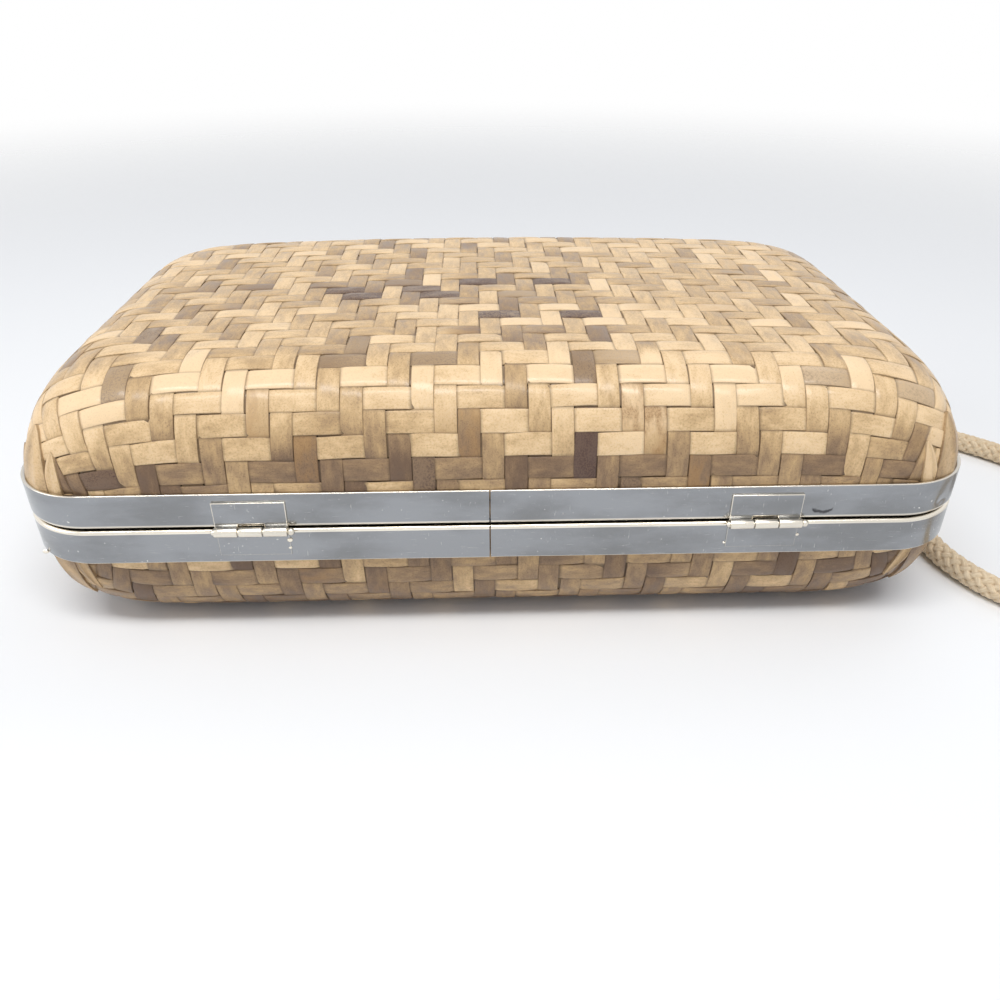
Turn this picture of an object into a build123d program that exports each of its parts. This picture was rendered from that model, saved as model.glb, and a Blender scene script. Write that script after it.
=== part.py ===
from build123d import *
from bisect import bisect_right
import math
import os

# A woven box bag: two pillow-shaped shells of flat strips in a two-over-two twill, each seated in
# a sheet-metal frame, hinged along the back and closed by a pair of clasp balls at the front.
# The origin is on the floor under the middle of the closed bag. X runs along the hinge, Y from
# the hinge side to the clasp side, Z up. All lengths are in millimetres.

# Overall sizes
frame_width = 206.4  # along the hinge, over the metal bands
frame_depth = 124.0  # hinge side to clasp side, over the metal bands
frame_corner = 17.0  # plan radius of the bands' corners
base_height = 29.5  # floor to the parting plane
lid_height = 32.3  # parting plane to the top of the weave

# Metal frames: a flat outer band with a flange turned in at the parting plane
band_height = 8.1
band_sheet = 0.9
flange_width = 4.4
parting_gap = 0.6  # clear space between the two closed frames
lip_bevel = 0.5  # along the outer edge at the parting plane
seam_width = 0.3  # butt joint of each band, at the back
seam_shift = -1.8  # from the middle of the back

# Woven shells
strip_pitch = 5.1  # from one strip to the next, in both directions
float_crown = 0.55  # how far the middle of an over-lying strip stands up
weave_wall = 1.2  # under the strips' edges
edge_reach = 20.0  # plan width of the rounded edge, from the flat to the wall
corner_reach = 23.0  # further in, where only the corners of the flat fall away
crown_fall = 2.6  # how far the lid's ends would lie below the middle of its top
tuck_clearance = 0.1  # between a shell and its band
edge_power = 2.6  # of the superellipse that the edge's section follows
flat_corner_power = 2.5  # of the plan corner where the flat begins to fall
rim_corner_power = 5.6  # of the plan corner at the rim
float_length = 2  # strips that a float passes over
twill_repeat = 4  # strips in one repeat of the twill

# Lining trays inside the shells
lining_wall = 0.8
lining_clearance = 0.2
smooth_line_shares = (0.25, 0.5, 1.0)  # of the edge's length, where a smooth side has its lines

# Hinges: two leaves on the bands' outer faces, three knuckles and a headed pin
hinge_spacing = 108.2
hinge_shift = 2.4  # of the pair from the middle of the back
hinge_length = 15.2
leaf_height = 6.6  # from the hinge's axis to the leaf's far edge
leaf_sheet = 0.5
knuckle_radius = 1.05
knuckle_count = 3
knuckle_gap = 0.3
pin_radius = 0.5
pin_running_clearance = 0.05
pin_head_radius = 0.8
pin_head_length = 1.4
pin_upset_length = 0.6
swing_clearance = 0.3  # between a knuckle and the bands that swing round it

# Clasp: a ball on a bent foot on each band, side by side at the front
clasp_ball_radius = 3.0
clasp_ball_cut = 1.7  # of the bevels that round the cut bead
clasp_ball_gap = 0.4
clasp_foot_width = 3.4
clasp_foot_sheet = 1.2
clasp_foot_height = 4.6

# Strap: a braided cord through an eyelet in each end of the lower shell, knotted inside
cord_diameter = 6.0
eyelet_drop = 14.6  # parting plane to the eyelets' axis
eyelet_place = 12.0  # of the eyelets towards the clasp side
eyelet_clearance = 0.2  # round the cord
eyelet_wall = 0.8
eyelet_flange = 1.6  # how far the rim stands out round the bush
eyelet_sheet = 1.0
eyelet_lead = 9.6  # how far the cord runs straight on past its eyelet's seat
hole_clearance = 0.1
knot_radius = 5.6
knot_length = 9.0
knot_bevel = 1.8
knot_flats = 8
arc_share = 0.45  # of the shorter run beside a bend, taken up by the bend's arc

overrun = 2.0  # past both faces of every cut
edge_steps = 90  # straight steps used to measure the length of an edge's section

parting_height = base_height
band_start = parting_gap / 2
rim_level = band_start + band_sheet
shell_inset = band_sheet + tuck_clearance
flat_half_x = frame_width / 2 - shell_inset - edge_reach - corner_reach
flat_half_y = frame_depth / 2 - shell_inset - edge_reach - corner_reach
back_face = -frame_depth / 2
front_face = frame_depth / 2
hinge_axis_y = back_face - knuckle_radius - swing_clearance


def round_length(first, second, power):
    """Length of a step in two directions, measured round a superellipse."""
    return (first**power + second**power) ** (1 / power)


class Pillow:
    """A half's outside: a flat that falls over rounded edges to a wall at the rim.

    A point is found from its place on the flat mat, s along X and t along Y, because the strips
    were woven flat and then drawn down over the edges. Heights are measured from the parting
    plane. Depth is the distance under the outside, so that all layers of a half are nested.
    The fall crowns the top: it is how much lower the height is at the ends than in the middle.
    """

    def __init__(self, height, fall):
        self.height = height
        self.fall = fall
        self.rise = height - rim_level
        self.arcs = [0.0]
        for step in range(edge_steps):
            out_a, up_a = self.section(step / edge_steps, 0)
            out_b, up_b = self.section((step + 1) / edge_steps, 0)
            self.arcs.append(self.arcs[-1] + math.hypot(out_b - out_a, up_b - up_a))
        self.edge_length = self.arcs[-1]
        self.mat_edge = corner_reach + self.edge_length
        self.half_s = flat_half_x + self.mat_edge
        self.half_t = flat_half_y + self.mat_edge

    def section(self, turn, depth):
        """Plan reach and height of the edge's section, from the flat (0) to the rim (1)."""
        angle = math.pi / 2 * min(turn, 1)
        out = (edge_reach - depth) * math.sin(angle) ** (2 / edge_power)
        up = (self.rise - depth) * max(math.cos(angle), 0) ** (2 / edge_power)
        return out, up

    def turn_at(self, arc):
        """Share of the section's turn at a length along it."""
        step = min(bisect_right(self.arcs, arc), edge_steps) - 1
        part = (arc - self.arcs[step]) / (self.arcs[step + 1] - self.arcs[step])
        return (step + min(part, 1)) / edge_steps

    def reach(self, lead, lag):
        """How far down the edge a place on the mat lies, rounded near the flat, square at the rim."""
        rounded = round_length(lead, lag, flat_corner_power)
        return rounded + (lead - rounded) * (lead / self.mat_edge) ** 2

    def mitre(self, reach):
        """Place on the mat's corner diagonal that lies as far down the edge."""
        low, high = 0.0, reach
        for _ in range(edge_steps):
            middle = (low + high) / 2
            if self.reach(middle, middle) < reach:
                low = middle
            else:
                high = middle
        return high

    def point(self, s, t, depth=0):
        """The place (x, y, height) of a place on the mat."""
        past_x = max(abs(s) - flat_half_x, 0)
        past_y = max(abs(t) - flat_half_y, 0)
        lead = max(past_x, past_y)
        lag = min(past_x, past_y)
        reach = self.reach(lead, lag)
        if reach <= corner_reach:
            return s, t, self.crowned(s, self.rise - depth)
        out, up = self.section(self.turn_at(reach - corner_reach), depth)
        ring = corner_reach + out
        power = flat_corner_power + (rim_corner_power - flat_corner_power) * out / edge_reach
        diagonal = self.mitre(reach)
        ring_diagonal = ring * 2 ** (-1 / power)
        crowding = diagonal / ring_diagonal
        share = lag / diagonal
        ring_lag = ring_diagonal * share * (crowding - (crowding - 1) * share)
        ring_lead = (ring**power - ring_lag**power) ** (1 / power)
        ring_x, ring_y = (ring_lead, ring_lag) if past_x >= past_y else (ring_lag, ring_lead)
        x = math.copysign(flat_half_x + ring_x, s) if past_x > 0 else s
        y = math.copysign(flat_half_y + ring_y, t) if past_y > 0 else t
        return x, y, self.crowned(x, up)

    def crowned(self, x, up):
        """Height from the parting plane of a level above the rim, lower towards the ends."""
        return rim_level + up * (1 - self.fall / self.rise * (x / (frame_width / 2)) ** 2)

    def wall_place(self, drop, t):
        """Plan reach along X of the end wall, at a distance from the parting plane."""
        low, high = flat_half_x, self.half_s
        for _ in range(edge_steps):
            middle = (low + high) / 2
            if self.point(middle, t)[2] > drop:
                low = middle
            else:
                high = middle
        return self.point(high, t)[0]


lid_pillow = Pillow(lid_height - float_crown, crown_fall)
base_pillow = Pillow(base_height - float_crown, 0)


def triangle(*corners):
    """A flat face on three corners."""
    return Face(Wire.make_polygon(corners))


def patch(corners):
    """Two triangles on four corners that need not lie in one plane."""
    first, second, third, fourth = corners
    return [triangle(first, second, third), triangle(first, third, fourth)]


def ring_of(grid):
    """The outer line of a grid of points, once round."""
    bottom = grid[0][:-1]
    right = [row[-1] for row in grid[:-1]]
    top = grid[-1][:0:-1]
    left = [row[0] for row in grid[:0:-1]]
    return bottom + right + top + left


class Half:
    """One half of the bag: its pillow, placed above or below the parting plane."""

    def __init__(self, pillow, side):
        self.pillow = pillow
        self.side = side

    def place(self, s, t, depth=0):
        x, y, height = self.pillow.point(s, t, depth)
        return x, y, parting_height + self.side * height

    def smooth_lines(self, flat_half):
        """Places of the lines that carry a smooth side, from edge to edge."""
        steps = [0.0, corner_reach]
        steps += [corner_reach + share * self.pillow.edge_length for share in smooth_line_shares]
        places = [flat_half + step for step in steps]
        return [-place for place in reversed(places)] + places

    def smooth_side(self, depth):
        """A plain side at a depth, as faces and as its rim."""
        columns = self.smooth_lines(flat_half_x)
        rows = self.smooth_lines(flat_half_y)
        grid = [[self.place(s, t, depth) for s in columns] for t in rows]
        faces = []
        for low, high in zip(grid, grid[1:]):
            for i in range(len(columns) - 1):
                faces += patch((low[i], low[i + 1], high[i + 1], high[i]))
        return faces, ring_of(grid)

    def strip_lines(self, half_length):
        """Places of the strips' edges, from rim to rim."""
        shown = half_length - (band_height - band_sheet)
        count = int(shown / strip_pitch)
        places = [i * strip_pitch for i in range(-count, count + 1)]
        return [-half_length] + places + [half_length]

    def woven_side(self):
        """The outside: strips along X stand up where they float over two strips along Y.

        Going down one row towards the floor on the hinge side, each float moves one strip to the
        right, which gives the twill its steps. Rows are counted from the middle of the half.
        """
        columns = self.strip_lines(self.pillow.half_s)
        rows = self.strip_lines(self.pillow.half_t)
        grid = [[self.place(s, t) for s in columns] for t in rows]
        last_column = len(columns) - 2
        last_row = len(rows) - 2
        faces = []
        for j in range(last_row + 1):
            i = 0
            while i <= last_column:
                low = grid[j]
                high = grid[j + 1]
                phase = (i + self.side * j) % twill_repeat
                inside = 0 < j < last_row and 0 < i < last_column - 1
                if inside and phase == 0:
                    s = columns[i + 1]
                    t = (rows[j] + rows[j + 1]) / 2
                    crown = self.place(s, t, -float_crown)
                    edge = low[i : i + float_length + 1] + high[i : i + float_length + 1][::-1]
                    faces += [triangle(a, b, crown) for a, b in zip(edge, edge[1:] + edge[:1])]
                    i += float_length
                else:
                    faces += patch((low[i], low[i + 1], high[i + 1], high[i]))
                    i += 1
        return faces, ring_of(grid)

    def closed(self, outside, inside):
        """A solid between two sides that end at the same rim."""
        outer_faces, outer_rim = outside
        inner_faces, inner_rim = inside
        rim = Face(Wire.make_polygon(outer_rim), [Wire.make_polygon(inner_rim)])
        return Solid(Shell([rim] + outer_faces + inner_faces))

    def woven_shell(self):
        return self.closed(self.woven_side(), self.smooth_side(weave_wall))

    def lining(self):
        outside = weave_wall + lining_clearance
        return self.closed(self.smooth_side(outside), self.smooth_side(outside + lining_wall))

    def frame(self):
        """Band and flange, with a bevelled edge at the parting plane and a butt seam at the back."""
        outline = RectangleRounded(frame_width, frame_depth, frame_corner)
        hollow = offset(outline, -band_sheet)
        mouth = offset(outline, -flange_width)
        start = Plane.XY.offset(parting_height + self.side * band_start)
        band = extrude(start * (outline - hollow), amount=self.side * band_height)
        flange = extrude(start * (outline - mouth), amount=self.side * band_sheet)
        frame = band + flange
        level = start.origin.Z
        parting_edges = frame.edges().filter_by_position(Axis.Z, level, level)
        frame = chamfer([edge for edge in parting_edges if is_on_outline(edge)], lip_bevel)
        seam = Pos(seam_shift, back_face, parting_height) * Box(
            seam_width, 2 * (flange_width + overrun), 2 * (rim_level + band_height + overrun)
        )
        return frame - seam


def is_on_outline(edge):
    """Whether an edge lies on the outer face of a band."""
    point = edge.center()
    past_x = max(abs(point.X) - (frame_width / 2 - frame_corner), 0)
    past_y = max(abs(point.Y) - (frame_depth / 2 - frame_corner), 0)
    return math.hypot(past_x, past_y) > frame_corner - band_sheet / 2


lid = Half(lid_pillow, 1)
base = Half(base_pillow, -1)


def across(radius, start, length):
    """A round bar along X from a start."""
    return Pos(start + length / 2, 0, 0) * Rot(0, 90, 0) * Cylinder(radius, length)


knuckle_length = (hinge_length - (knuckle_count - 1) * knuckle_gap) / knuckle_count
leaf_face = back_face - hinge_axis_y  # from the hinge's axis to the bands' outer face
leaf_start = knuckle_radius + swing_clearance


def hinge_leaf(centre, side, knuckles):
    """A leaf about the hinge's axis: its plate, and for each knuckle a strap and a barrel."""
    plate_height = leaf_height - leaf_start
    plate_y = leaf_face - leaf_sheet / 2
    leaf = Pos(0, plate_y, side * (leaf_start + plate_height / 2)) * Box(
        hinge_length, leaf_sheet, plate_height
    )
    for index in knuckles:
        start = index * (knuckle_length + knuckle_gap) - hinge_length / 2
        strap = Pos(start + knuckle_length / 2, plate_y, side * leaf_start / 2) * Box(
            knuckle_length, leaf_sheet, leaf_start
        )
        leaf += strap + across(knuckle_radius, start, knuckle_length)
    bore_radius = pin_radius + pin_running_clearance
    bore = across(bore_radius, -hinge_length / 2 - overrun, hinge_length + 2 * overrun)
    return Pos(centre, hinge_axis_y, parting_height) * (leaf - bore)


def hinge_pin(centre):
    """A plain pin with a head at its right end and a shorter one at its left."""
    end = hinge_length / 2
    pin = across(pin_radius, -end, hinge_length)
    pin += across(pin_head_radius, end, pin_head_length)
    pin += across(pin_head_radius, -end - pin_upset_length, pin_upset_length)
    return Pos(centre, hinge_axis_y, parting_height) * pin


def clasp(side):
    """A ball on a foot that is riveted to a band's outer face."""
    foot_start = band_start + (band_height - clasp_foot_height)
    ball_x = -side * (clasp_ball_radius + clasp_ball_gap / 2)
    foot_y = front_face + clasp_foot_sheet / 2
    foot = Pos(ball_x, foot_y, side * (foot_start + clasp_foot_height / 2)) * Box(
        clasp_foot_width, clasp_foot_sheet, clasp_foot_height
    )
    neck_centre = (foot_y, side * (foot_start + clasp_foot_width / 2))
    ball_centre = (front_face + clasp_foot_sheet + clasp_ball_radius, 0)
    lean = math.atan2(ball_centre[0] - neck_centre[0], ball_centre[1] - neck_centre[1])
    span = math.hypot(ball_centre[0] - neck_centre[0], ball_centre[1] - neck_centre[1])
    neck = Pos(ball_x, neck_centre[0], neck_centre[1]) * Rot(-math.degrees(lean), 0, 0) * Cylinder(
        clasp_foot_sheet, span, align=(Align.CENTER, Align.CENTER, Align.MIN)
    )
    block = Pos(ball_x, front_face - clasp_foot_width, 0) * Box(
        2 * clasp_foot_width, 2 * clasp_foot_width, 2 * (rim_level + band_height)
    )
    bead = Box(2 * clasp_ball_radius, 2 * clasp_ball_radius, 2 * clasp_ball_radius)
    bead = chamfer(bead.edges(), clasp_ball_cut)
    ball = Pos(ball_x, ball_centre[0], ball_centre[1]) * bead
    return Pos(0, 0, parting_height) * (foot + neck + ball - block)


cord_radius = cord_diameter / 2
bush_bore = cord_radius + eyelet_clearance
bush_radius = bush_bore + eyelet_wall
eyelet_radius = bush_radius + eyelet_flange
eyelet_height = parting_height - eyelet_drop
eyelet_seat = base_pillow.wall_place(eyelet_drop - eyelet_radius, eyelet_place) + float_crown
lining_depth = weave_wall + lining_clearance + lining_wall
bush_wall = base_pillow.wall_place(eyelet_drop + eyelet_radius, eyelet_place)
bush_end = bush_wall - lining_depth - eyelet_sheet


def eyelet(side):
    """A turned bush through the lower shell's end wall, with a flat rim outside."""
    with BuildPart() as bush:
        with BuildSketch(Plane.XZ):
            with BuildLine():
                Polyline(
                    (eyelet_seat + eyelet_sheet, bush_bore),
                    (bush_end, bush_bore),
                    (bush_end, bush_radius),
                    (eyelet_seat, bush_radius),
                    (eyelet_seat, eyelet_radius),
                    (eyelet_seat + eyelet_sheet, eyelet_radius),
                    close=True,
                )
            make_face()
        revolve(axis=Axis.X)
    turned = bush.part if side > 0 else mirror(bush.part, about=Plane.YZ)
    return Pos(0, eyelet_place, eyelet_height) * turned


def knot(side):
    """The strap's stopper knot, drawn up against the inside of its eyelet."""
    body = extrude(Plane.YZ * RegularPolygon(knot_radius, knot_flats), amount=-side * knot_length)
    ends = body.faces().filter_by(Axis.X)
    body = chamfer(ends.edges(), knot_bevel)
    return Pos(side * bush_end, eyelet_place, eyelet_height) * body


# The strap's route, chosen by hand: out of the right eyelet, down to the floor, round in a loose
# loop, back behind the bag and up to the left eyelet.
strap_route = [
    (bush_end, eyelet_place, eyelet_height),
    (eyelet_seat + eyelet_lead, eyelet_place, eyelet_height),
    (120.5, -4.0, 10.0),
    (114.0, -22.0, 3.0),
    (111.5, -38.0, 3.0),
    (121.0, -58.0, 3.0),
    (143.0, -68.0, 3.0),
    (167.0, -54.0, 3.0),
    (177.0, -24.0, 3.0),
    (161.0, 10.0, 3.0),
    (135.0, 33.0, 3.0),
    (110.0, 62.0, 3.0),
    (70.0, 81.0, 3.0),
    (-5.0, 85.0, 3.0),
    (-80.0, 77.0, 3.0),
    (-110.0, 52.0, 3.0),
    (-119.7, 28.0, 8.4),
    (-eyelet_seat - eyelet_lead, eyelet_place, eyelet_height),
    (-bush_end, eyelet_place, eyelet_height),
]


def strap_cord():
    """A round cord along the route, with arcs as large as the runs allow."""
    points = [Vector(*place) for place in strap_route]
    radii = []
    for before, corner, after in zip(points, points[1:], points[2:]):
        turn = math.radians((corner - before).get_angle(after - corner))
        shorter = min((corner - before).length, (after - corner).length)
        radii.append(arc_share * shorter / math.tan(turn / 2))
    print("strap radii", [round(radius, 1) for radius in radii])
    path = FilletPolyline(*points, radius=radii)
    section = Plane(points[0], z_dir=points[1] - points[0]) * Circle(cord_radius)
    cord = sweep(section, path=path, transition=Transition.ROUND)
    print("strap length", round(path.length, 1), "volume share",
          round(cord.volume / (math.pi * cord_radius**2 * path.length), 4))
    return cord


def strap_hole(wall):
    """A wall of the lower half with a hole for each eyelet."""
    for side in (1, -1):
        hole = Rot(0, 90, 0) * Cylinder(bush_radius + hole_clearance, edge_reach)
        wall -= Pos(side * (frame_width / 2), eyelet_place, eyelet_height) * hole
    return wall


nodes = {
    "lid_woven_shell": lid.woven_shell(),
    "lid_lining": lid.lining(),
    "lid_frame": lid.frame(),
    "base_woven_shell": strap_hole(base.woven_shell()),
    "base_lining": strap_hole(base.lining()),
    "base_frame": base.frame(),
    "lid_clasp_ball": clasp(1),
    "base_clasp_ball": clasp(-1),
    "strap_cord": strap_cord(),
}
for name, side in (("left", -1), ("right", 1)):
    centre = hinge_shift + side * hinge_spacing / 2
    nodes[name + "_hinge_lid_leaf"] = hinge_leaf(centre, 1, [0, 2])
    nodes[name + "_hinge_base_leaf"] = hinge_leaf(centre, -1, [1])
    nodes[name + "_hinge_pin"] = hinge_pin(centre)
    nodes[name + "_strap_eyelet"] = eyelet(side)
    nodes[name + "_strap_knot"] = knot(side)

for name, solid in nodes.items():
    export_step(solid, "parts/" + name + ".step")
    print(name, "volume", round(solid.volume, 1))
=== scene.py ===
# %% [markdown]
# # A woven box bag, drawn over its measured frame
# The metal, the hinges and the two halves already exist as measured solids. This script loads
# them as a fixed frame and gives each one the surface that a person would see and touch.
# Everything is in metres, in the same axes as the solids: X runs along the hinge, Y from the
# hinge side to the clasp side, Z up, with the floor at zero.

# %% Load the frame
import bmesh
import bpy
import math
import numpy as np
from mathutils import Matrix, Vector


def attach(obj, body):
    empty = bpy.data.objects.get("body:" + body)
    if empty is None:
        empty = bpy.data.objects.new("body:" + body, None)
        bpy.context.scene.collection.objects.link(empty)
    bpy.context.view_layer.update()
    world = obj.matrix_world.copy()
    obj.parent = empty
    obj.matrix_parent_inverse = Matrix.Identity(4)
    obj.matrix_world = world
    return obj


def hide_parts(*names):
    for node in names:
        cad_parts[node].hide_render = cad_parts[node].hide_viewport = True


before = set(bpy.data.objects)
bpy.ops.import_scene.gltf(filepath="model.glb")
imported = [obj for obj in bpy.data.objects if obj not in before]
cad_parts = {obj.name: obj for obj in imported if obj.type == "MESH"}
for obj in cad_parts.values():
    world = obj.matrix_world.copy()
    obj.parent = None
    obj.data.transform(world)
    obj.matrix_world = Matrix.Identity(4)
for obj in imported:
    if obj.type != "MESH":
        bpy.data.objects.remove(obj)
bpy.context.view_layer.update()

# %% [markdown]
# ## Sizes that the frame uses too
# The bands and the woven halves are drawn here point by point, so the sizes that shape them are
# repeated from the solids' source. They could be measured on the loaded solids instead, but the
# raised weave there hides the smooth form under it. Plain numbers keep each strip in its band.

# %% Shared sizes
MM = 0.001
FRAME_WIDTH, FRAME_DEPTH, FRAME_CORNER = 206.4 * MM, 124 * MM, 17 * MM
PARTING = 29.5 * MM
BAND_START, BAND_HEIGHT, BAND_SHEET = 0.3 * MM, 8.1 * MM, 0.9 * MM
print("frame", FRAME_WIDTH, "by", FRAME_DEPTH, "m, parted at", PARTING, "m")

# %% [markdown]
# ## Helpers for drawing
# A piece is one object. It rides on a body of the frame, takes a finish, and may stand for a
# plain solid, which is then hidden. Blender's own add-mesh tools could start each piece, but they
# depend on what is selected. A mesh built from lists of points and faces comes out the same on
# every run.

# %% Objects and meshes
scene = bpy.context.scene


def shown(name, data):
    """A new object in the scene."""
    thing = bpy.data.objects.new(name, data)
    scene.collection.objects.link(thing)
    return thing


def plain_mesh(name, verts, faces, sharp=None):
    """A smoothly shaded mesh; edges that bend by more than sharp degrees stay crisp."""
    mesh = bpy.data.meshes.new(name)
    mesh.from_pydata([tuple(v) for v in np.asarray(verts).tolist()], [], faces)
    mesh.update()
    mesh.polygons.foreach_set("use_smooth", [True] * len(mesh.polygons))
    if sharp is not None:
        mesh.set_sharp_from_angle(angle=math.radians(sharp))
    return mesh


def set_values(mesh, values):
    """Named numbers on a mesh's points, for its material to read."""
    for name, numbers in values.items():
        layer = mesh.attributes.new(name, "FLOAT", "POINT")
        layer.data.foreach_set("value", np.asarray(numbers, dtype=np.float32).ravel())


print("objects and meshes ready")


# %% Grids, pieces and chance
def grid_faces(rows, columns, wrap=False, start=0):
    """Quads between rows of points; wrap joins the last column to the first."""
    faces = []
    quads_a_row = columns if wrap else columns - 1
    for row in range(rows - 1):
        for column in range(quads_a_row):
            beside = (column + 1) % columns
            this = start + row * columns
            after = this + columns
            faces.append((this + column, this + beside, after + beside, after + column))
    return faces


def turned_over(faces):
    """The same faces, seen from their other side."""
    return [face[::-1] for face in faces]


def piece(name, mesh, material, body, stands_for=()):
    """A finished object that moves with a body and may stand for a solid."""
    mesh.materials.append(material)
    obj = shown(name, mesh)
    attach(obj, body)
    if stands_for:
        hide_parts(*stands_for)
    return obj


def smooth_noise(rng, places, spacing, size):
    """A seeded wandering value along a line."""
    low, high = float(np.min(places)), float(np.max(places))
    knots = np.arange(low - 2 * spacing, high + 3 * spacing, spacing)
    values = rng.normal(0, size, len(knots))
    spot = (places - knots[0]) / spacing
    index = np.clip(spot.astype(int), 0, len(knots) - 2)
    part = spot - index
    part = part * part * (3 - 2 * part)
    return values[index] * (1 - part) + values[index + 1] * part


print("grids, pieces and chance ready")

# %% [markdown]
# ## Helpers for finishes
# A finish is a network of shader nodes. It could be wired by hand in the shader editor. Here each
# small function adds one node and hands back what it puts out, so a network reads like a sum,
# and the same few functions serve every finish.


# %% Materials and sums
def new_material(name):
    """A material with its node tree and its main shader."""
    material = bpy.data.materials.new(name)
    material.use_nodes = True
    return material, material.node_tree, material.node_tree.nodes["Principled BSDF"]


def wire(tree, source, target):
    """Set a socket to a number or a colour, or link another node's output to it."""
    if isinstance(source, (int, float)):
        target.default_value = source
    elif isinstance(source, tuple):
        target.default_value = source if len(source) == len(target.default_value) else source + (1,)
    else:
        tree.links.new(source, target)


def maths(tree, operation, first, second=None, third=None, clamp=False):
    """One step of arithmetic."""
    node = tree.nodes.new("ShaderNodeMath")
    node.operation = operation
    node.use_clamp = clamp
    for socket, value in zip(node.inputs, (first, second, third)):
        if value is not None:
            wire(tree, value, socket)
    return node.outputs[0]


def span(tree, value, low, high, out_low=0.0, out_high=1.0):
    """A soft step from one value to another while the input goes from low to high."""
    node = tree.nodes.new("ShaderNodeMapRange")
    node.interpolation_type = "SMOOTHSTEP"
    for key, number in (("Value", value), ("From Min", low), ("From Max", high),
                        ("To Min", out_low), ("To Max", out_high)):
        wire(tree, number, node.inputs[key])
    return node.outputs[0]


def mix(tree, share, first, second):
    """A share of the second colour over the first."""
    node = tree.nodes.new("ShaderNodeMix")
    node.data_type = "RGBA"
    wire(tree, share, node.inputs["Factor"])
    wire(tree, first, node.inputs["A"])
    wire(tree, second, node.inputs["B"])
    return [socket for socket in node.outputs if socket.type == "RGBA"][0]


print("materials and sums ready")


# %% Noise, places and bumps
def noise(tree, place, scale, detail=2.0, rough=0.5):
    """A cloudy value, with so many bumps a metre; three numbers stretch it along X, Y and Z."""
    if isinstance(scale, tuple):
        stretch = tree.nodes.new("ShaderNodeMapping")
        wire(tree, place, stretch.inputs["Vector"])
        stretch.inputs["Scale"].default_value = scale
        place, scale = stretch.outputs[0], 1.0
    node = tree.nodes.new("ShaderNodeTexNoise")
    wire(tree, place, node.inputs["Vector"])
    node.inputs["Scale"].default_value = scale
    node.inputs["Detail"].default_value = detail
    node.inputs["Roughness"].default_value = rough
    return node.outputs["Fac"]


def stored(tree, name):
    """A number that was stored on the mesh."""
    node = tree.nodes.new("ShaderNodeAttribute")
    node.attribute_name = name
    return node.outputs["Fac"]


def joined(tree, x, y, z):
    """A place from three numbers."""
    node = tree.nodes.new("ShaderNodeCombineXYZ")
    for socket, value in zip(node.inputs, (x, y, z)):
        wire(tree, value, socket)
    return node.outputs[0]


def bump(tree, height, distance, strength):
    """A normal that follows a height."""
    node = tree.nodes.new("ShaderNodeBump")
    wire(tree, height, node.inputs["Height"])
    node.inputs["Distance"].default_value = distance
    node.inputs["Strength"].default_value = strength
    return node.outputs["Normal"]


def place_of(tree):
    """Where on the object a point is."""
    return tree.nodes.new("ShaderNodeTexCoord").outputs["Object"]


print("noise, places and bumps ready")

# %% [markdown]
# ## Camera
# The camera stands where the photograph was taken from: close to the hinge side, looking down.
# It could be placed by eye, but so near a camera makes the front look much wider than the back,
# and a small error shows. Its lens and place come from matching the corners of the metal bands
# to the picture.

# %% Camera
scene.view_settings.view_transform = "Standard"
camera_data = bpy.data.cameras.new("camera")
camera_data.sensor_width = 36
camera_data.lens = 31.06
camera_data.clip_start = 0.01
camera = shown("camera", camera_data)
camera.location = (-4.27 * MM, -214.59 * MM, 129.3 * MM)
camera.rotation_euler = (math.radians(58.46), 0, math.radians(-1.713))
scene.camera = camera
print("camera at", [round(c, 4) for c in camera.location])

# %% [markdown]
# ## Lights
# Varnish shows the shape of each light. One round lamp would be simpler, but it would leave a hot
# spot. A long soft light above and in front gives the highlight that runs along the front
# shoulder. A weaker light from the left fills the shadow, and a third one behind lifts the far
# edge of the top.

# %% Lights
LIT_MIDDLE = Vector((0, 0, 0.03))


def area_light(name, place, size, power):
    """A soft rectangular light that faces the bag."""
    data = bpy.data.lights.new(name, "AREA")
    data.shape = "RECTANGLE"
    data.size, data.size_y = size
    data.energy = power
    light = shown(name, data)
    light.location = place
    light.rotation_euler = (LIT_MIDDLE - Vector(place)).to_track_quat("-Z", "Y").to_euler()


area_light("key_light", (-0.05, -0.30, 0.78), (0.8, 0.14), 4.6)
area_light("left_fill", (-0.9, -0.25, 0.5), (0.6, 0.6), 2.0)
area_light("back_light", (0.45, 0.55, 0.95), (0.8, 0.4), 1.5)

# %% [markdown]
# ## White surroundings
# The background is plain white. Stronger lamps could bleach it, but they would bleach the bag as
# well. So the world is white only for rays from the camera, from gloss and through glass, and it
# lights the bag at a lower strength. The floor is a wide sheet that keeps the bag's shadow and
# fades out further away, so no horizon shows.

# %% World
SKY_TINT, SKY_STRENGTH = (0.93, 0.95, 1.0), 0.42
world = bpy.data.worlds.new("studio")
world.use_nodes = True
scene.world = world
tree = world.node_tree
tree.nodes.clear()
soft = tree.nodes.new("ShaderNodeBackground")
wire(tree, SKY_TINT, soft.inputs["Color"])
wire(tree, SKY_STRENGTH, soft.inputs["Strength"])
white = tree.nodes.new("ShaderNodeBackground")
wire(tree, (1, 1, 1), white.inputs["Color"])
rays = tree.nodes.new("ShaderNodeLightPath").outputs
seen = maths(tree, "MAXIMUM", rays["Is Camera Ray"], rays["Is Glossy Ray"])
seen = maths(tree, "MAXIMUM", seen, rays["Is Transmission Ray"])
pick = tree.nodes.new("ShaderNodeMixShader")
for source, socket in zip((seen, soft.outputs[0], white.outputs[0]), pick.inputs):
    wire(tree, source, socket)
wire(tree, pick.outputs[0], tree.nodes.new("ShaderNodeOutputWorld").inputs["Surface"])
print("world ready:", len(tree.nodes), "nodes")

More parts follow.
